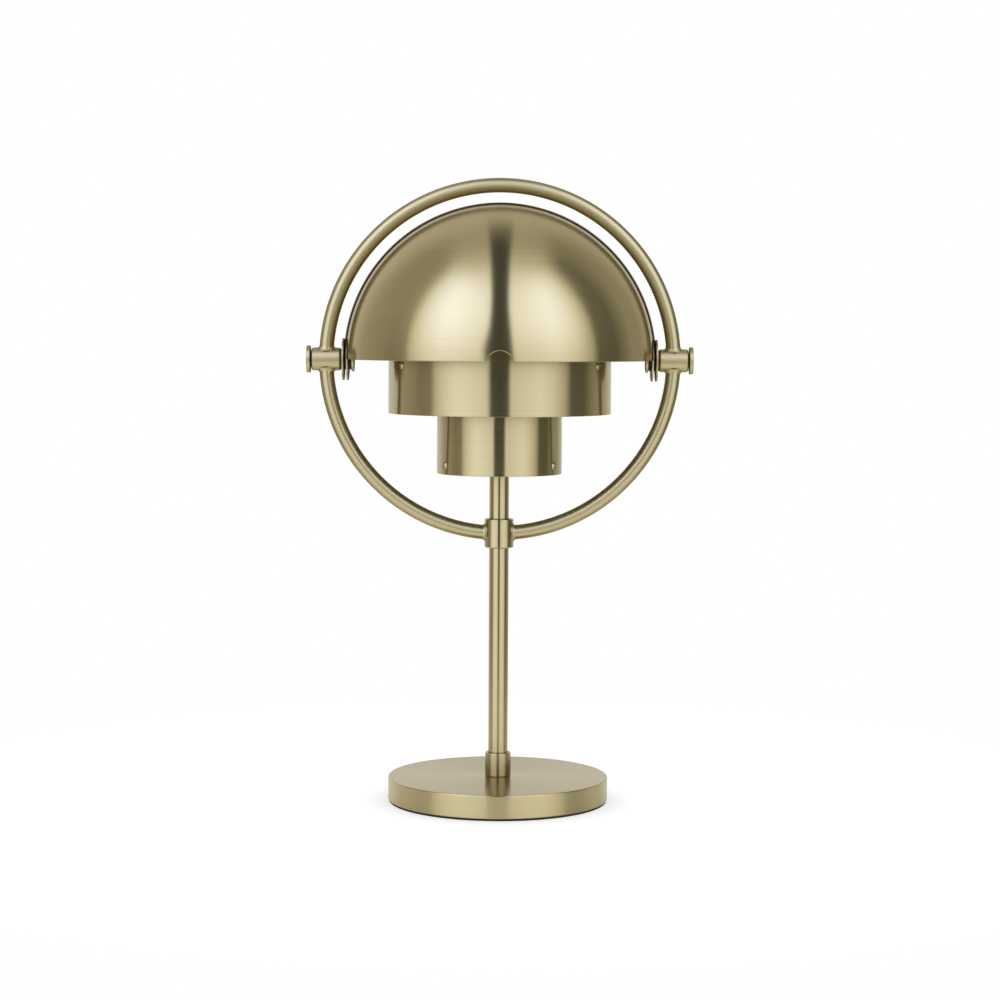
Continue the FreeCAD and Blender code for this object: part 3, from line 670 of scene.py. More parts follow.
# A bent tube of the ring: an arc in the lamp's middle plane, swept with a round section. Near the
# sleeves and the collar its skin swells into the brazed fillet.
def arcGroup():
    group, nodes, links, given = newGroup("bentRingTube", [
        ("Ring radius", "Float"), ("Tube radius", "Float"), ("Start angle", "Float"),
        ("Sweep angle", "Float"), ("Points", "Int"), ("Sleeve radius", "Float"),
        ("Collar radius", "Float"), ("Fillet reach", "Float"), ("Fillet", "Float"),
        ("Height", "Float"), ("Material", "Material")])
    calc = mathIn(nodes, links)
    arc = nodes.new("GeometryNodeCurveArc")
    arc.mode = "RADIUS"
    links.new(given.outputs["Points"], arc.inputs["Resolution"])
    links.new(given.outputs["Ring radius"], arc.inputs["Radius"])
    links.new(calc("RADIANS", given.outputs["Start angle"]), arc.inputs["Start Angle"])
    links.new(calc("RADIANS", given.outputs["Sweep angle"]), arc.inputs["Sweep Angle"])
    section = nodes.new("GeometryNodeCurvePrimitiveCircle")
    section.inputs["Resolution"].default_value = 48
    links.new(given.outputs["Tube radius"], section.inputs["Radius"])
    sweep = nodes.new("GeometryNodeCurveToMesh")
    links.new(arc.outputs["Curve"], sweep.inputs["Curve"])
    links.new(section.outputs["Curve"], sweep.inputs["Profile Curve"])
    sweep.inputs["Fill Caps"].default_value = True
    spot = nodes.new("GeometryNodeInputPosition")
    part = nodes.new("ShaderNodeSeparateXYZ")
    links.new(spot.outputs[0], part.inputs[0])
    x, y, z = part.outputs
    aboveHinge = calc("GREATER_THAN", y, 0.0)
    toSleeve = calc("SUBTRACT", lengthOf(nodes, links, y, z), given.outputs["Sleeve radius"])
    toCollar = calc("SUBTRACT", lengthOf(nodes, links, x, z), given.outputs["Collar radius"])
    toCollar = calc("ADD", toCollar, aboveHinge)
    nearest = calc("MINIMUM", toSleeve, toCollar)
    share = calc("DIVIDE", nearest, given.outputs["Fillet reach"])
    share = calc("MINIMUM", calc("MAXIMUM", share, 0.0), 1.0)
    # a quarter of a circle seen from the fillet's corner, hollow outwards
    square = calc("POWER", calc("SUBTRACT", 1.0, share), 2.0)
    bulge = calc("SUBTRACT", 1.0, calc("SQRT", calc("SUBTRACT", 1.0, square)))
    swell = calc("MULTIPLY", bulge, given.outputs["Fillet"])
    flat = nodes.new("ShaderNodeCombineXYZ")
    links.new(x, flat.inputs["X"])
    links.new(y, flat.inputs["Y"])
    toward = vectorNode(nodes, links, "NORMALIZE", flat.outputs[0])
    middle = vectorNode(nodes, links, "SCALE", toward, given.outputs["Ring radius"])
    outward = vectorNode(nodes, links, "NORMALIZE",
                         vectorNode(nodes, links, "SUBTRACT", spot.outputs[0], middle))
    shift = nodes.new("GeometryNodeSetPosition")
    links.new(sweep.outputs[0], shift.inputs["Geometry"])
    links.new(vectorNode(nodes, links, "SCALE", outward, swell), shift.inputs["Offset"])
    lift = nodes.new("ShaderNodeCombineXYZ")
    links.new(given.outputs["Height"], lift.inputs["Z"])
    stand = nodes.new("GeometryNodeTransform")
    stand.inputs["Rotation"].default_value = (math.radians(90), 0, 0)
    links.new(shift.outputs[0], stand.inputs["Geometry"])
    links.new(lift.outputs[0], stand.inputs["Translation"])
    closeGroup(group, stand.outputs[0], given.outputs["Material"])
    return group


def vectorNode(nodes, links, operation, first, second=None):
    node = nodes.new("ShaderNodeVectorMath")
    node.operation = operation
    links.new(first, node.inputs[0])
    if second is not None:
        links.new(second, node.inputs["Scale" if operation == "SCALE" else 1])
    return node.outputs["Vector"]


def runGroup(piece, group, values):
    modifier = piece.modifiers.new("build", "NODES")
    modifier.node_group = group
    sockets = {item.name: item.identifier for item in group.interface.items_tree
               if item.in_out == "INPUT" and item.socket_type != "NodeSocketGeometry"}
    for label, value in values.items():
        modifier[sockets[label]] = value
    bakeModifiers(piece)
    finishMesh(piece)
    return piece


# Ring frame.

stem = {
    "radius": 4.7,
    "wall": 1.0,
    "bottom": 6.8,
    "top": 193.45,
    "collarHole": 4.75,
    "ringCollar": (6.95, 122.85, 136.85),
    "baseCollar": (6.2, 12.0, 23.6),
    "chamfer": 0.4,
    "grubRadius": 1.5,
    "grubSocket": 0.8,
    "grubSocketDepth": 1.2,
    "grubBack": 6.9,
}

ring = {
    "radius": 83.15,
    "tubeRadius": 3.45,
    "sleeveEnd": 4.0,                   # the tube runs this near the sleeve's middle
    "collarEnd": 5.8,                   # and this near the stem's
    "filletReach": 1.5,
    "fillet": 1.0,
    "pointsPerDegree": 4,
}


def ringArcPiece(name, start, sweep):
    piece = bpy.data.objects.new(name, bpy.data.meshes.new(name))
    bpy.context.scene.collection.objects.link(piece)
    return runGroup(piece, tubeGroup, {
        "Ring radius": ring["radius"] / 1000, "Tube radius": ring["tubeRadius"] / 1000,
        "Start angle": start, "Sweep angle": sweep,
        "Points": int(sweep * ring["pointsPerDegree"]), "Sleeve radius": pivot["sleeveRadius"] / 1000,
        "Collar radius": stem["ringCollar"][0] / 1000, "Fillet reach": ring["filletReach"] / 1000,
        "Fillet": ring["fillet"] / 1000, "Height": hingeHeight / 1000, "Material": tubeBrass})


tubeGroup = arcGroup()
sleeveAngle = math.degrees(math.asin(ring["sleeveEnd"] / ring["radius"]))
collarAngle = math.degrees(math.asin(ring["collarEnd"] / ring["radius"]))
lowerSweep = 90 - sleeveAngle - collarAngle
for name, node, start, sweep in (
        ("topArcTube", "ring_top_arc", sleeveAngle, 180 - 2 * sleeveAngle),
        ("leftArcTube", "ring_left_arc", 180 + sleeveAngle, lowerSweep),
        ("rightArcTube", "ring_right_arc", 270 + collarAngle, lowerSweep)):
    wear(ringArcPiece(name, start, sweep), tubeBrass, "stand", "brushed_brass", node)
print("ring made")


# Stem and its collars.

def collarPiece(name, size):
    radius, low, high = size
    chamfer = stem["chamfer"]
    hole = stem["collarHole"]
    corners = [(hole, low, 0.08), (radius - chamfer, low, 0.1), (radius, low + chamfer, 0.3),
               (radius, high - chamfer, 0.3), (radius - chamfer, high, 0.1), (hole, high, 0.08)]
    return turnedMesh(name, softOutline(corners, True), True, 96)


# A headless screw with a six-sided socket, on the back of its collar.
def grubPiece(name, front, back, height):
    floor = back - stem["grubSocketDepth"]
    radius = stem["grubRadius"]
    outline = softOutline([(0, front, 0), (radius, front, 0.1), (radius, back, 0.15)], False)
    hexFrom = len(outline) + 1
    outline += [Vector((stem["grubSocket"] * 1.25, back)), Vector((stem["grubSocket"], back - 0.05)),
                Vector((stem["grubSocket"], floor)), Vector((0, floor))]
    place = Matrix.Translation((0, 0, height)) @ Matrix.Rotation(math.radians(-90), 4, "X")
    return turnedMesh(name, outline, False, 48, place, hexFrom)


stemOutline = softOutline([(stem["radius"] - stem["wall"], stem["bottom"], 0.1),
                           (stem["radius"], stem["bottom"], 0.1), (stem["radius"], stem["top"], 0.1),
                           (stem["radius"] - stem["wall"], stem["top"], 0.1)], True)
wear(turnedMesh("stemBar", stemOutline, True, 96), shadeBrass, "stand", "brushed_brass", "stem_tube")
wear(collarPiece("ringClampCollar", stem["ringCollar"]), shadeBrass, "stand", "brushed_brass",
     "ring_collar")
wear(collarPiece("stemFootCollar", stem["baseCollar"]), shadeBrass, "stand", "brushed_brass",
     "base_collar")
ringCollarMiddle = (stem["ringCollar"][1] + stem["ringCollar"][2]) / 2
wear(grubPiece("ringClampGrub", stem["collarHole"], stem["grubBack"], ringCollarMiddle),
     finishes["steel"], "stand", "steel", "ring_collar_screw")
print("stem made")


# Fixed cylinder shades and their rivets.

cylinderShades = {
    "steps": 192,
    "sheet": 0.8,
    "edge": 0.2,
    # name: (CAD shade, CAD rivets, radius, bottom, top, rivet height)
    "shades": {
        "upper": ("upper_shade", "upper_rivets", 53.3, 187.4, 221.0, 210.65),
        "lower": ("lower_shade", "lower_rivets", 29.95, 158.6, 190.4, 162.95),
    },
    "rivetCount": 3,
    "firstRivet": -150,
    "rivetRadius": 2.0,
    "rivetHeight": 0.9,
    "dimpleRadius": 0.65,
    "dimpleDepth": 0.5,
    "tailRadius": 1.6,
    "tailHeight": 0.6,
    "shankRadius": 1.1,
    "gripLength": 1.85,                 # shade and spider tab together
}


def shadeWall(name, radius, low, high):
    edge = cylinderShades["edge"]
    inner = radius - cylinderShades["sheet"]
    corners = [(inner, low, edge), (radius, low, edge), (radius, high, edge), (inner, high, edge)]
    return turnedMesh(name, softOutline(corners, True), True, cylinderShades["steps"])


# One rivet with a domed, dimpled head outwards and a flat tail inside, turned round its own line.
def rivetMesh(name, seat, height):
    look = cylinderShades
    head = look["rivetRadius"]
    rise = look["rivetHeight"]
    ball = (head ** 2 + rise ** 2) / (2 * rise)
    tailTop = seat - look["gripLength"] - 0.03
    outline = [Vector((0, tailTop - look["tailHeight"]))]
    outline += softOutline([(0, tailTop - look["tailHeight"], 0),
                            (look["tailRadius"], tailTop - look["tailHeight"], 0.15),
                            (look["tailRadius"], tailTop, 0.1), (look["shankRadius"], tailTop, 0)],
                           False)[1:]
    outline += [Vector((look["shankRadius"], seat)), Vector((head - 0.05, seat)),
                Vector((head, seat + 0.05))]
    dimple = look["dimpleRadius"]
    edgeAngle = math.asin(dimple / ball)
    footAngle = math.asin((head - 0.01) / ball)
    for step in range(9):
        angle = footAngle + (edgeAngle - footAngle) * step / 8
        outline.append(Vector((ball * math.sin(angle), seat + rise - ball + ball * math.cos(angle))))
    crown = outline[-1].y
    floor = seat + rise - look["dimpleDepth"]
    outline += [Vector((dimple - 0.04, crown - 0.04)), Vector((dimple - 0.08, floor + 0.06)),
                Vector((dimple - 0.15, floor)), Vector((0, floor))]
    place = Matrix.Translation((0, 0, height)) @ Matrix.Rotation(math.radians(90), 4, "Y")
    return turnedMesh(name, outline, False, 36, place)


repeatGroup = aroundGroup()
for word, (shadeNode, rivetNode, radius, low, high, height) in cylinderShades["shades"].items():
    wear(shadeWall(word + "ShadeWall", radius, low, high), shadeBrass, "stand", "brushed_brass", shadeNode)
    rivets = rivetMesh(word + "ShadeRivets", radius, height)
    runGroup(rivets, repeatGroup, {"Count": cylinderShades["rivetCount"],
                                   "First angle": float(cylinderShades["firstRivet"]),
                                   "Step angle": 360.0 / cylinderShades["rivetCount"],
                                   "Material": fittingBrass})
    wear(rivets, fittingBrass, "stand", "brushed_brass", rivetNode)
print("cylinder shades made")


# Lamp housing, chips and diffuser.

light = {
    "boss": (9.0, 184.45),
    "body": (17.0, 190.45),
    "flange": (25.0, 206.45, 208.45),
    "wall": 1.5,
    "floorTop": 193.45,
    "grooves": 4,
    "grooveDepth": 0.9,
    "grooveWidth": 1.4,
    "chipCircle": 14.0,
    "chipHalf": 1.4,
    "chipBottom": 210.05,
    "chipHeight": 0.8,
    "chipCount": 12,
    "diffuser": (24.0, 208.45, 232.45),
    "diffuserWall": 1.6,
    "diffuserCorner": 10.0,
}


def housingPiece():
    hole = stem["collarHole"]
    bossRadius, bossLow = light["boss"]
    bodyRadius, bodyLow = light["body"]
    flangeRadius, flangeLow, flangeTop = light["flange"]
    corners = [(hole, bossLow, 0.1), (bossRadius, bossLow, 0.3), (bossRadius, bodyLow, 0.2),
               (bodyRadius, bodyLow, 0.3)]
    pitch = (flangeLow - bodyLow) / (light["grooves"] + 1)
    depth = bodyRadius - light["grooveDepth"]
    for number in range(light["grooves"]):
        middle = bodyLow + pitch * (number + 1)
        for height, radius in ((-1, bodyRadius), (-1, depth), (1, depth), (1, bodyRadius)):
            corners.append((radius, middle + height * light["grooveWidth"] / 2, 0.12))
    inside = bodyRadius - light["wall"]
    corners += [(bodyRadius, flangeLow, 0.15), (flangeRadius, flangeLow, 0.2),
                (flangeRadius, flangeTop, 0.2), (inside, flangeTop, 0.1),
                (inside, light["floorTop"], 0.1), (hole, light["floorTop"], 0.1)]
    return turnedMesh("heatSinkBody", softOutline(corners, True), True, 120)


# One rounded chip with a slightly lower phosphor window, repeated round the board by a node group.
def chipPiece():
    middle, half = light["chipCircle"], light["chipHalf"]
    low = light["chipBottom"]
    top = low + light["chipHeight"]
    levels = [(half, low), (half, top - 0.1), (half - 0.1, top), (half - 0.35, top),
              (half - 0.4, top - 0.08)]
    vertices, faces = [], [(0, 1, 2, 3)]
    for reach, height in levels:
        for x, y in ((-1, -1), (-1, 1), (1, 1), (1, -1)):
            vertices.append((middle + reach * x, reach * y, height))
    for level in range(len(levels) - 1):
        for corner in range(4):
            after = (corner + 1) % 4
            low, high = level * 4, level * 4 + 4
            faces.append((low + corner, low + after, high + after, high + corner))
    last = len(vertices) - 4
    faces.append((last, last + 1, last + 2, last + 3))
    piece = meshPiece("boardChips", vertices, faces, [(0, 0)] * (4 * len(faces)))
    return runGroup(piece, repeatGroup, {"Count": light["chipCount"], "First angle": 0.0,
                                         "Step angle": 360.0 / light["chipCount"],
                                         "Material": finishes["light_chips"]})


def diffuserPiece():
    radius, low, high = light["diffuser"]
    wall = light["diffuserWall"]
    outline = [Vector((0, high - wall))]
    corner = light["diffuserCorner"]
    for inset, order in ((wall, 1), (0, -1)):
        bend = corner - inset
        arc = []
        for step in range(13):
            angle = math.radians(90 - 90 * step / 12)
            arc.append(Vector((radius - corner + bend * math.cos(angle),
                               high - corner + bend * math.sin(angle))))
        arc += [Vector((radius - inset, low + (high - corner - low) * share))
                for share in (0.75, 0.5, 0.25, 0.04)]
        arc.append(Vector((radius - inset, low)))
        outline += arc[::order]
    outline.append(Vector((0, high)))
    return turnedMesh("opalCap", outline, False, 120)


wear(housingPiece(), finishes["housing_aluminium"], "stand", "housing_aluminium", "lamp_housing")
wear(chipPiece(), finishes["light_chips"], "stand", "light_chips", "led_chips")
wear(diffuserPiece(), finishes["opal_diffuser"], "stand", "opal_diffuser", "diffuser")
print("light made")


# Small screws.

screws = {
    "shankRadius": 1.0,
    "headRadius": 1.7,
    "headHeight": 0.9,
    "socketRadius": 0.75,
    "socketDepth": 0.5,
    # name: (CAD node, distance from the stem's middle, seat height, shank length)
    "sets": {
        "hubScrews": ("spider_screws", 6.7, 160.1, 4.5),
        "heatSinkScrews": ("housing_screws", 21.0, 205.45, 2.0),
    },
    "firstAngle": -90.0,
}


def screwMesh(name, distance, seat, length):
    low = seat - screws["headHeight"]
    socketTop = low + screws["socketDepth"]
    outline = [Vector((0, socketTop)), Vector((screws["socketRadius"], socketTop)),
               Vector((screws["socketRadius"], low + 0.04)), Vector((screws["socketRadius"] + 0.06, low))]
    hexTo = len(outline)
    outline += softOutline([(screws["socketRadius"] + 0.1, low, 0), (screws["headRadius"], low, 0.25),
                            (screws["headRadius"], seat, 0.05), (screws["shankRadius"], seat, 0),
                            (screws["shankRadius"], seat + length, 0.2), (0, seat + length, 0)], False)[1:]
    outline.reverse()
    place = Matrix.Translation((distance, 0, 0))
    return turnedMesh(name, outline, False, 24, place, len(outline) - hexTo)


for name, (node, distance, seat, length) in screws["sets"].items():
    piece = screwMesh(name, distance, seat, length)
    runGroup(piece, repeatGroup, {"Count": 3, "First angle": screws["firstAngle"], "Step angle": 120.0,
                                  "Material": finishes["steel"]})
    wear(piece, finishes["steel"], "stand", "steel", node)
print("screws made")


# Base.

base = {
    "steps": 256,
    "radius": 53.0,
    "bottom": 1.0,
    "top": 12.0,
    "edge": 0.5,
    "lowerEdge": 0.4,
    "padRadius": 52.5,
    "stemHole": 4.75,
    "coverGap": 0.1,
    "coverDepth": 1.2,                  # of the cover's recess
    "coverLand": 4.0,                   # ledge that the cover's screws go into
    "pocketOverStem": 3.0,              # pocket's top above the stem's end
    "boardGap": 1.2,
    "guideGap": 0.05,
    "socketGap": 0.15,
}


def basePiece():
    coverLow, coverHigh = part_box("base_cover")
    coverRadius = coverHigh.x * 1000 + base["coverGap"]
    pocketBottom = coverLow.z * 1000 + base["coverDepth"]
    pocketRadius = coverRadius - base["coverLand"]
    pocketTop = stem["bottom"] + base["pocketOverStem"]
    corners = [(base["stemHole"], base["top"], 0.1), (base["stemHole"], pocketTop, 0),
               (pocketRadius, pocketTop, 0), (pocketRadius, pocketBottom, 0),
               (coverRadius, pocketBottom, 0), (coverRadius, base["bottom"], 0),
               (base["radius"], base["bottom"], base["lowerEdge"]),
               (base["radius"], base["top"], base["edge"])]
    disc = turnedMesh("baseDisc", softOutline(corners, True), True, base["steps"])
    bayLow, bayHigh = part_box("control_board")
    socketLow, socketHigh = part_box("charging_socket")
    guideLow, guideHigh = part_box("button_guide")
    middle = (guideLow + guideHigh) * 500
    guideRadius = (guideHigh.x - guideLow.x) * 500 + base["guideGap"]
    place = Matrix.Translation((middle.x, 0, middle.z)) @ Matrix.Rotation(math.radians(-90), 4, "X")
    bore = turnedMesh("cutter", [Vector((0, 45)), Vector((guideRadius, 45)), Vector((guideRadius, 60)),
                                 Vector((0, 60))], False, 64, place)
    gap = base["boardGap"]
    bay = boxCutter((bayLow.x * 1000 - gap, 5, -1),
                    (bayHigh.x * 1000 + gap, bayHigh.y * 1000 + base["guideGap"], pocketTop))
    cutPiece(disc, [bay, bore, socketCutter(socketLow * 1000, socketHigh * 1000)])
    return disc


# A bar with half-round ends, a little larger than the charging socket all round.
def socketCutter(low, high):
    gap = base["socketGap"]
    radius = (high.z - low.z) / 2 + gap
    half = (high.x - low.x) / 2 + gap - radius
    middle = (low.z + high.z) / 2
    ring = []
    for side, first in ((1, -90), (-1, 90)):
        for step in range(17):
            angle = math.radians(first + 180 * step / 16)
            ring.append((side * half + radius * math.cos(angle), middle + radius * math.sin(angle)))
    count = len(ring)
    vertices = [(x, 30, z) for x, z in ring] + [(x, 60, z) for x, z in ring]
    faces = [(step, (step + 1) % count, count + (step + 1) % count, count + step)
             for step in range(count)]
    faces += [tuple(range(count)), tuple(range(2 * count - 1, count - 1, -1))]
    return meshPiece("cutter", vertices, faces, [(0, 0)] * (6 * count))


def padPiece():
    corners = [(0, 0, 0), (base["padRadius"], 0, 0.25), (base["padRadius"], base["bottom"], 0.1),
               (0, base["bottom"], 0)]
    return turnedMesh("basePadDisc", softOutline(corners, False), False, base["steps"])


wear(basePiece(), baseBrass, "stand", "brushed_brass", "base_weight")
wear(padPiece(), finishes["black_pad"], "stand", "black_pad", "base_pad")
print("base made")


# Dimmer button.

button = {
    "capEdge": 0.35,
    "flange": 0.8,                      # thickness and overhang of the hidden flange
    "dish": 0.18,                       # hollow of the face
    "dishRim": 0.72,                    # share of the radius that is hollow
}


def buttonPiece():
    low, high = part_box("dimmer_button")
    flangeLow, flangeHigh = low.y * 1000, low.y * 1000 + button["flange"]
    middle = (low + high) * 500
    flangeRadius = (high.x - low.x) * 500
    radius = flangeRadius - button["flange"]
    face = high.y * 1000
    rim = button["dishRim"]
    outline = softOutline([(0, flangeLow, 0), (flangeRadius, flangeLow, 0.1),
                           (flangeRadius, flangeHigh, 0.1), (radius, flangeHigh, 0),
                           (radius, face, button["capEdge"]), (radius * rim, face, 0.1)], False)
    for share in (0.6, 0.45, 0.3, 0.15, 0):
        outline.append(Vector((radius * share, face - button["dish"] * (1 - (share / rim) ** 2))))
    place = Matrix.Translation((middle.x, 0, middle.z)) @ Matrix.Rotation(math.radians(-90), 4, "X")
    return turnedMesh("dimmerCap", outline, False, 48, place)


wear(buttonPiece(), finishes["button_metal"], "button", "button_metal", "dimmer_button")
print("button made")


# Finishes of the CAD nodes that stay.

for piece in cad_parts.values():
    for slot in piece.material_slots:
        named = slot.material.name.split(".")[0] if slot.material else ""
        slot.material = finishes.get(named, finishes["steel"])
print("kept nodes finished")


# Light, floor and camera.

# What the metal mirrors, by direction. Azimuth is measured from the camera's side, negative to the
# left; the values are the brightness of the soft boxes, the dark flags and the backdrop. They were
# fitted until the brass came out as bright as in the photograph, and only mirrored rays see them.
studio = {
    "around": ((-180, 0.60), (-150, 0.58), (-138, 0.52), (-123, 0.37), (-101, 0.285), (-88, 0.215),
               (-75, 0.25), (-70, 0.58), (-60, 0.78), (-46, 0.93), (-33, 0.90), (-14, 0.78), (0, 0.72),
               (11, 0.72), (24, 0.79), (43, 0.88), (57, 0.76), (66, 0.60), (73, 0.42), (78, 0.11),
               (97, 0.10), (104, 0.175), (117, 0.30), (130, 0.31), (148, 0.48), (160, 0.56), (180, 0.60)),
    "gain": ((-90, 0.75), (-15, 0.88), (-3, 0.98), (5, 1.08), (15, 1.28), (30, 1.44), (48, 1.42),
             (58, 1.25), (68, 0.95), (90, 0.6)),
    "gainBehind": ((-90, 0.8), (0, 1.0), (25, 1.0), (48, 0.84), (90, 0.6)),
    "behind": (-0.15, 0.35),            # from here to here the back's gain takes over
    "overhead": ((-0.42, 0.92), (-0.30, 0.62), (-0.10, 0.46), (0.05, 0.40), (0.20, 0.345), (0.37, 0.39),
                 (0.56, 0.48), (0.77, 0.57), (0.95, 0.60)),
    "overheadFrom": (56, 70),
    # tint of the mirrored light, from its darkest to its brightest, at tintTop
    "tint": ((0.0, (0.5, 0.50, 0.44)), (0.25, (0.5, 0.475, 0.455)), (0.6, (0.5, 0.505, 0.575)),
             (0.9, (0.5, 0.54, 0.80)), (1.0, (0.5, 0.55, 0.84))),
    "tintTop": 1.4,
    "plainLevel": 1.0,
    "mirroredAgain": 0.36,
}


def fillRamp(ramp, stops):
    elements = ramp.color_ramp.elements
    while len(elements) < len(stops):
        elements.new(0.5)
    for element, (place, colour) in zip(elements, stops):
        element.position = place
    for element, (place, colour) in zip(elements, stops):
        element.color = (*colour, 1)


def levelRamp(nodes, links, value, stops, low, high):
    ramp = nodes.new("ShaderNodeValToRGB")
    top = max(level for place, level in stops)
    fillRamp(ramp, [((place - low) / (high - low), (level / top,) * 3) for place, level in stops])
    links.new(value, ramp.inputs["Fac"])
    return mathIn(nodes, links)("MULTIPLY", ramp.outputs["Color"], top)


def smoothShare(nodes, links, value, low, high):
    spread = nodes.new("ShaderNodeMapRange")
    spread.interpolation_type = "SMOOTHSTEP"
    for label, item in (("Value", value), ("From Min", low), ("From Max", high)):
        if isinstance(item, (int, float)):
            spread.inputs[label].default_value = item
        else:
            links.new(item, spread.inputs[label])
    return spread.outputs["Result"]


def mixLevels(nodes, links, share, low, high):
    calc = mathIn(nodes, links)
    first = calc("MULTIPLY", calc("SUBTRACT", 1.0, share), low)
    return calc("ADD", first, calc("MULTIPLY", share, high))


def studioWorld():
    world = bpy.data.worlds.new("softStudio")
    world.use_nodes = True
    bpy.context.scene.world = world
    nodes, links = world.node_tree.nodes, world.node_tree.links
    nodes.clear()
    calc = mathIn(nodes, links)
    x, y, z = coordParts(nodes, links, "Generated")
    turn = calc("ARCTAN2", x, calc("MULTIPLY", y, -1.0))
    around = calc("ADD", calc("DIVIDE", turn, 2 * math.pi), 0.5)
    rise = calc("ARCSINE", calc("MINIMUM", calc("MAXIMUM", z, -1.0), 1.0))
    up = calc("ADD", calc("DIVIDE", rise, math.pi), 0.5)
    sides = levelRamp(nodes, links, around, studio["around"], -180, 180)
    gain = levelRamp(nodes, links, up, studio["gain"], -90, 90)
    gainBehind = levelRamp(nodes, links, up, studio["gainBehind"], -90, 90)
    gain = mixLevels(nodes, links, smoothShare(nodes, links, y, *studio["behind"]), gain, gainBehind)
    front = calc("MULTIPLY", sides, gain)
    depth = calc("ADD", calc("MULTIPLY", y, 0.5), 0.5)
    overhead = levelRamp(nodes, links, depth, studio["overhead"], -1, 1)
    low, high = (math.sin(math.radians(value)) for value in studio["overheadFrom"])
    level = mixLevels(nodes, links, smoothShare(nodes, links, z, low, high), front, overhead)
    tint = nodes.new("ShaderNodeValToRGB")
    fillRamp(tint, studio["tint"])
    links.new(calc("DIVIDE", level, studio["tintTop"]), tint.inputs["Fac"])
    rays = nodes.new("ShaderNodeLightPath")
    white = calc("MAXIMUM", rays.outputs["Is Camera Ray"], rays.outputs["Is Transmission Ray"])
    mirrored = calc("MULTIPLY", rays.outputs["Is Glossy Ray"], calc("SUBTRACT", 1.0, white))
    shade = nodes.new("ShaderNodeMix")
    shade.data_type = "RGBA"
    shade.inputs["A"].default_value = (0.5, 0.5, 0.5, 1)
    links.new(mirrored, shade.inputs["Factor"])
    links.new(tint.outputs["Color"], shade.inputs["B"])
    glow = nodes.new("ShaderNodeBackground")
    links.new(shade.outputs["Result"], glow.inputs["Color"])
    # metal mirrored in metal keeps only part of the light, so seams and inner edges stay deep; the
    # first mirrored ray has a depth of 2 here
    again = calc("GREATER_THAN", rays.outputs["Ray Depth"], 2.5)
    kept = mixLevels(nodes, links, again, 1.0, studio["mirroredAgain"])
    strength = mixLevels(nodes, links, mirrored, studio["plainLevel"], calc("MULTIPLY", level, kept))
    links.new(calc("MULTIPLY", strength, 2.0), glow.inputs["Strength"])     # the colours are halved
    out = nodes.new("ShaderNodeOutputWorld")
    links.new(glow.outputs[0], out.inputs["Surface"])


# The dark gap between the soft boxes, through which the camera looks: a strip that bends up in
# front of the lamp and over it. Only mirrored rays meet it, so it is never seen itself.
darkStrip = {
    "distance": 0.65,                   # metres
    "height": 0.2,                      # of the middle of its bend
    "clothHalf": 0.25,                  # half the width of its mesh
    "halfWidth": (0.172, 0.092),        # at the horizon and well above it, as shares of the distance
    "narrowing": 0.65,                  # height at which it is narrow, in the same shares
    "softEdge": (0.84, 1.16),
    "fade": (0.0, 0.65),                # where it ends behind the top, as a share of the distance
    "level": 0.05,
    "flare": 0.42,                      # extra width low on the left
    "flareRise": (0.02, 0.10),          # above the middle, as shares of the distance
    "flareFall": (0.12, 0.42),
    "foot": (-0.65, -0.25),             # where it fades in towards the floor, in the same shares
    "reach": (-36, 128),                # degrees above the horizon in front
}


def stripPiece():
    far, height = darkStrip["distance"], darkStrip["height"]
    first, last = darkStrip["reach"]
    vertices = []
    for angle in range(first, last + 1, 2):
        turn = math.radians(angle)
        for side in (-1, 1):
            vertices.append((side * darkStrip["clothHalf"], -far * math.cos(turn),
                             height + far * math.sin(turn)))
    faces = [(step, step + 1, step + 3, step + 2) for step in range(0, len(vertices) - 2, 2)]
    material, nodes, links, shader = startMaterial("darkStripCloth")
    calc = mathIn(nodes, links)
    x, y, z = (calc("DIVIDE", part, far) for part in coordParts(nodes, links))
    z = calc("SUBTRACT", z, height / far)
    wide, narrow = darkStrip["halfWidth"]
    half = calc("ADD", calc("MULTIPLY", z, (narrow - wide) / darkStrip["narrowing"]), wide)
    half = calc("MINIMUM", calc("MAXIMUM", half, narrow), wide)
    inner, outer = (calc("MULTIPLY", half, share) for share in darkStrip["softEdge"])
    fall = calc("SUBTRACT", 1.0, smoothShare(nodes, links, z, *darkStrip["flareFall"]))
    flare = calc("MULTIPLY", smoothShare(nodes, links, z, *darkStrip["flareRise"]), fall)
    flare = calc("MULTIPLY", flare, calc("LESS_THAN", x, 0.0))
    stretch = calc("ADD", 1.0, calc("MULTIPLY", flare, darkStrip["flare"]))
    outside = smoothShare(nodes, links, calc("DIVIDE", calc("ABSOLUTE", x), stretch), inner, outer)
    over = smoothShare(nodes, links, y, *darkStrip["fade"])
    cover = calc("MULTIPLY", calc("SUBTRACT", 1.0, outside), calc("SUBTRACT", 1.0, over))
    cover = calc("MULTIPLY", cover, smoothShare(nodes, links, z, *darkStrip["foot"]))
    rays = nodes.new("ShaderNodeLightPath")
    dark = nodes.new("ShaderNodeEmission")
    dark.inputs["Strength"].default_value = darkStrip["level"]
    clear = nodes.new("ShaderNodeBsdfTransparent")
    mixShaders(nodes, links, calc("MULTIPLY", cover, rays.outputs["Is Glossy Ray"]), clear, dark)
    nodes.remove(shader)
    stagePiece("darkStrip", vertices, faces, material)


# The first shader is left where the share is 0, the second where it is 1.
def mixShaders(nodes, links, share, first, second):
    mix = nodes.new("ShaderNodeMixShader")
    links.new(share, mix.inputs["Fac"])
    links.new(first.outputs[0], mix.inputs[1])
    links.new(second.outputs[0], mix.inputs[2])
    links.new(mix.outputs[0], nodes["Material Output"].inputs["Surface"])


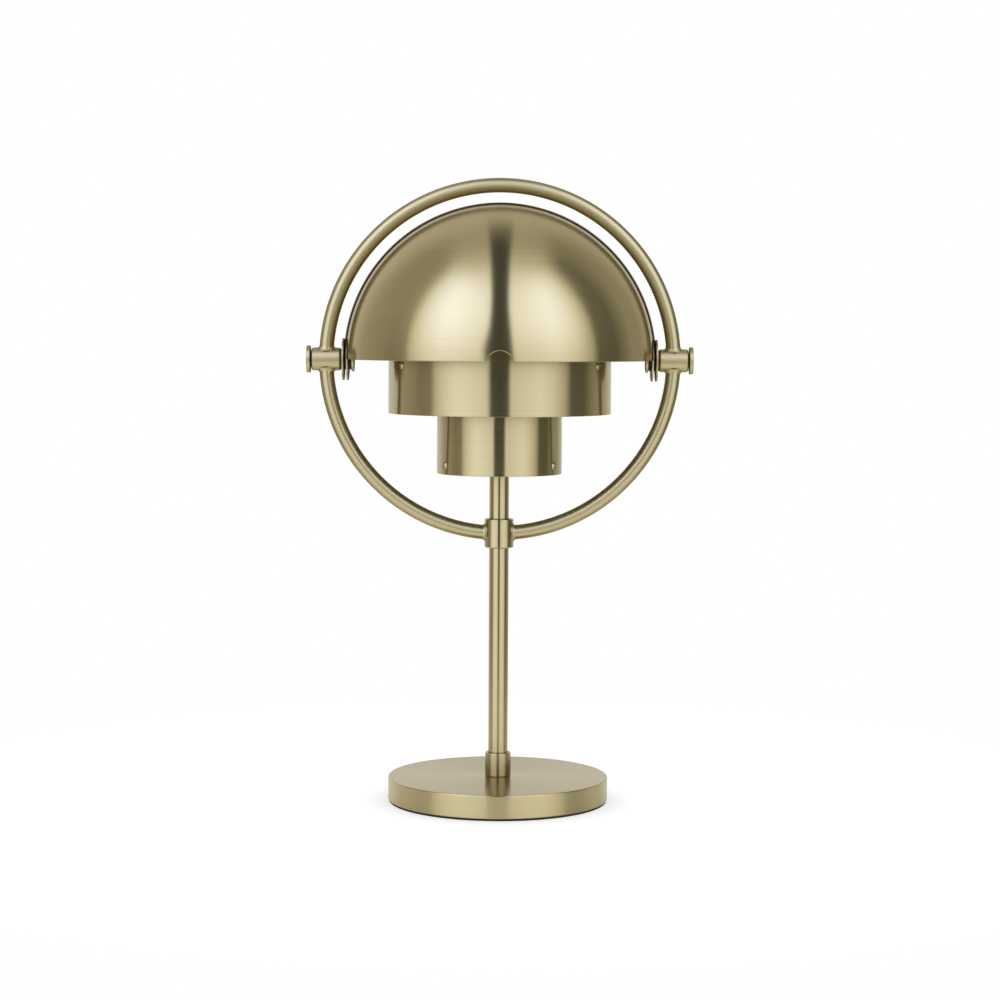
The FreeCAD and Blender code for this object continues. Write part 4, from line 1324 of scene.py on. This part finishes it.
def stagePiece(name, vertices, faces, material):
    mesh = bpy.data.meshes.new(name)
    mesh.from_pydata(vertices, [], faces)
    mesh.materials.append(material)
    piece = bpy.data.objects.new(name, mesh)
    bpy.context.scene.collection.objects.link(piece)


floorLook = {
    "radius": 0.32,                     # metres
    "sides": 60,
    "colour": (0.80, 0.80, 0.80),
    "clear": 0.55,                      # share of the mirrored rays that pass through it
    "glow": 0.36,                       # added where the camera sees it, so that it meets the white
}


def paleFloor():
    sides = floorLook["sides"]
    turns = [2 * math.pi * step / sides for step in range(sides)]
    vertices = [(floorLook["radius"] * math.cos(turn), floorLook["radius"] * math.sin(turn), 0)
                for turn in turns]
    material, nodes, links, shader = startMaterial("paleFloorPaint")
    calc = mathIn(nodes, links)
    shader.inputs["Base Color"].default_value = (*floorLook["colour"], 1)
    shader.inputs["Roughness"].default_value = 0.9
    shader.inputs["Specular IOR Level"].default_value = 0.0
    shader.inputs["Emission Color"].default_value = (1, 1, 1, 1)
    rays = nodes.new("ShaderNodeLightPath")
    links.new(calc("MULTIPLY", rays.outputs["Is Camera Ray"], floorLook["glow"]),
              shader.inputs["Emission Strength"])
    # metal mirrors more of the studio's lower half than of the floor beside it
    mixShaders(nodes, links, calc("MULTIPLY", rays.outputs["Is Glossy Ray"], floorLook["clear"]),
               shader, nodes.new("ShaderNodeBsdfTransparent"))
    stagePiece("paleFloor", vertices, [tuple(range(sides))], material)


view = {
    "place": (0.0004, -1.169, 0.2278),
    "aim": (0.0004, 0.0, 0.1457),
    "lens": 87.7,
    "roll": 0.3,
}


def camera():
    data = bpy.data.cameras.new("photoCamera")
    data.lens = view["lens"]
    data.sensor_width = 36
    piece = bpy.data.objects.new("photoCamera", data)
    bpy.context.scene.collection.objects.link(piece)
    place, aim = Vector(view["place"]), Vector(view["aim"])
    turn = (aim - place).to_track_quat("-Z", "Y").to_matrix().to_4x4()
    roll = Matrix.Rotation(math.radians(view["roll"]), 4, "Z")
    piece.matrix_world = Matrix.Translation(place) @ turn @ roll
    bpy.context.scene.camera = piece


studioWorld()
stripPiece()
paleFloor()
camera()
bpy.context.scene.view_settings.view_transform = "Standard"
print("studio made")
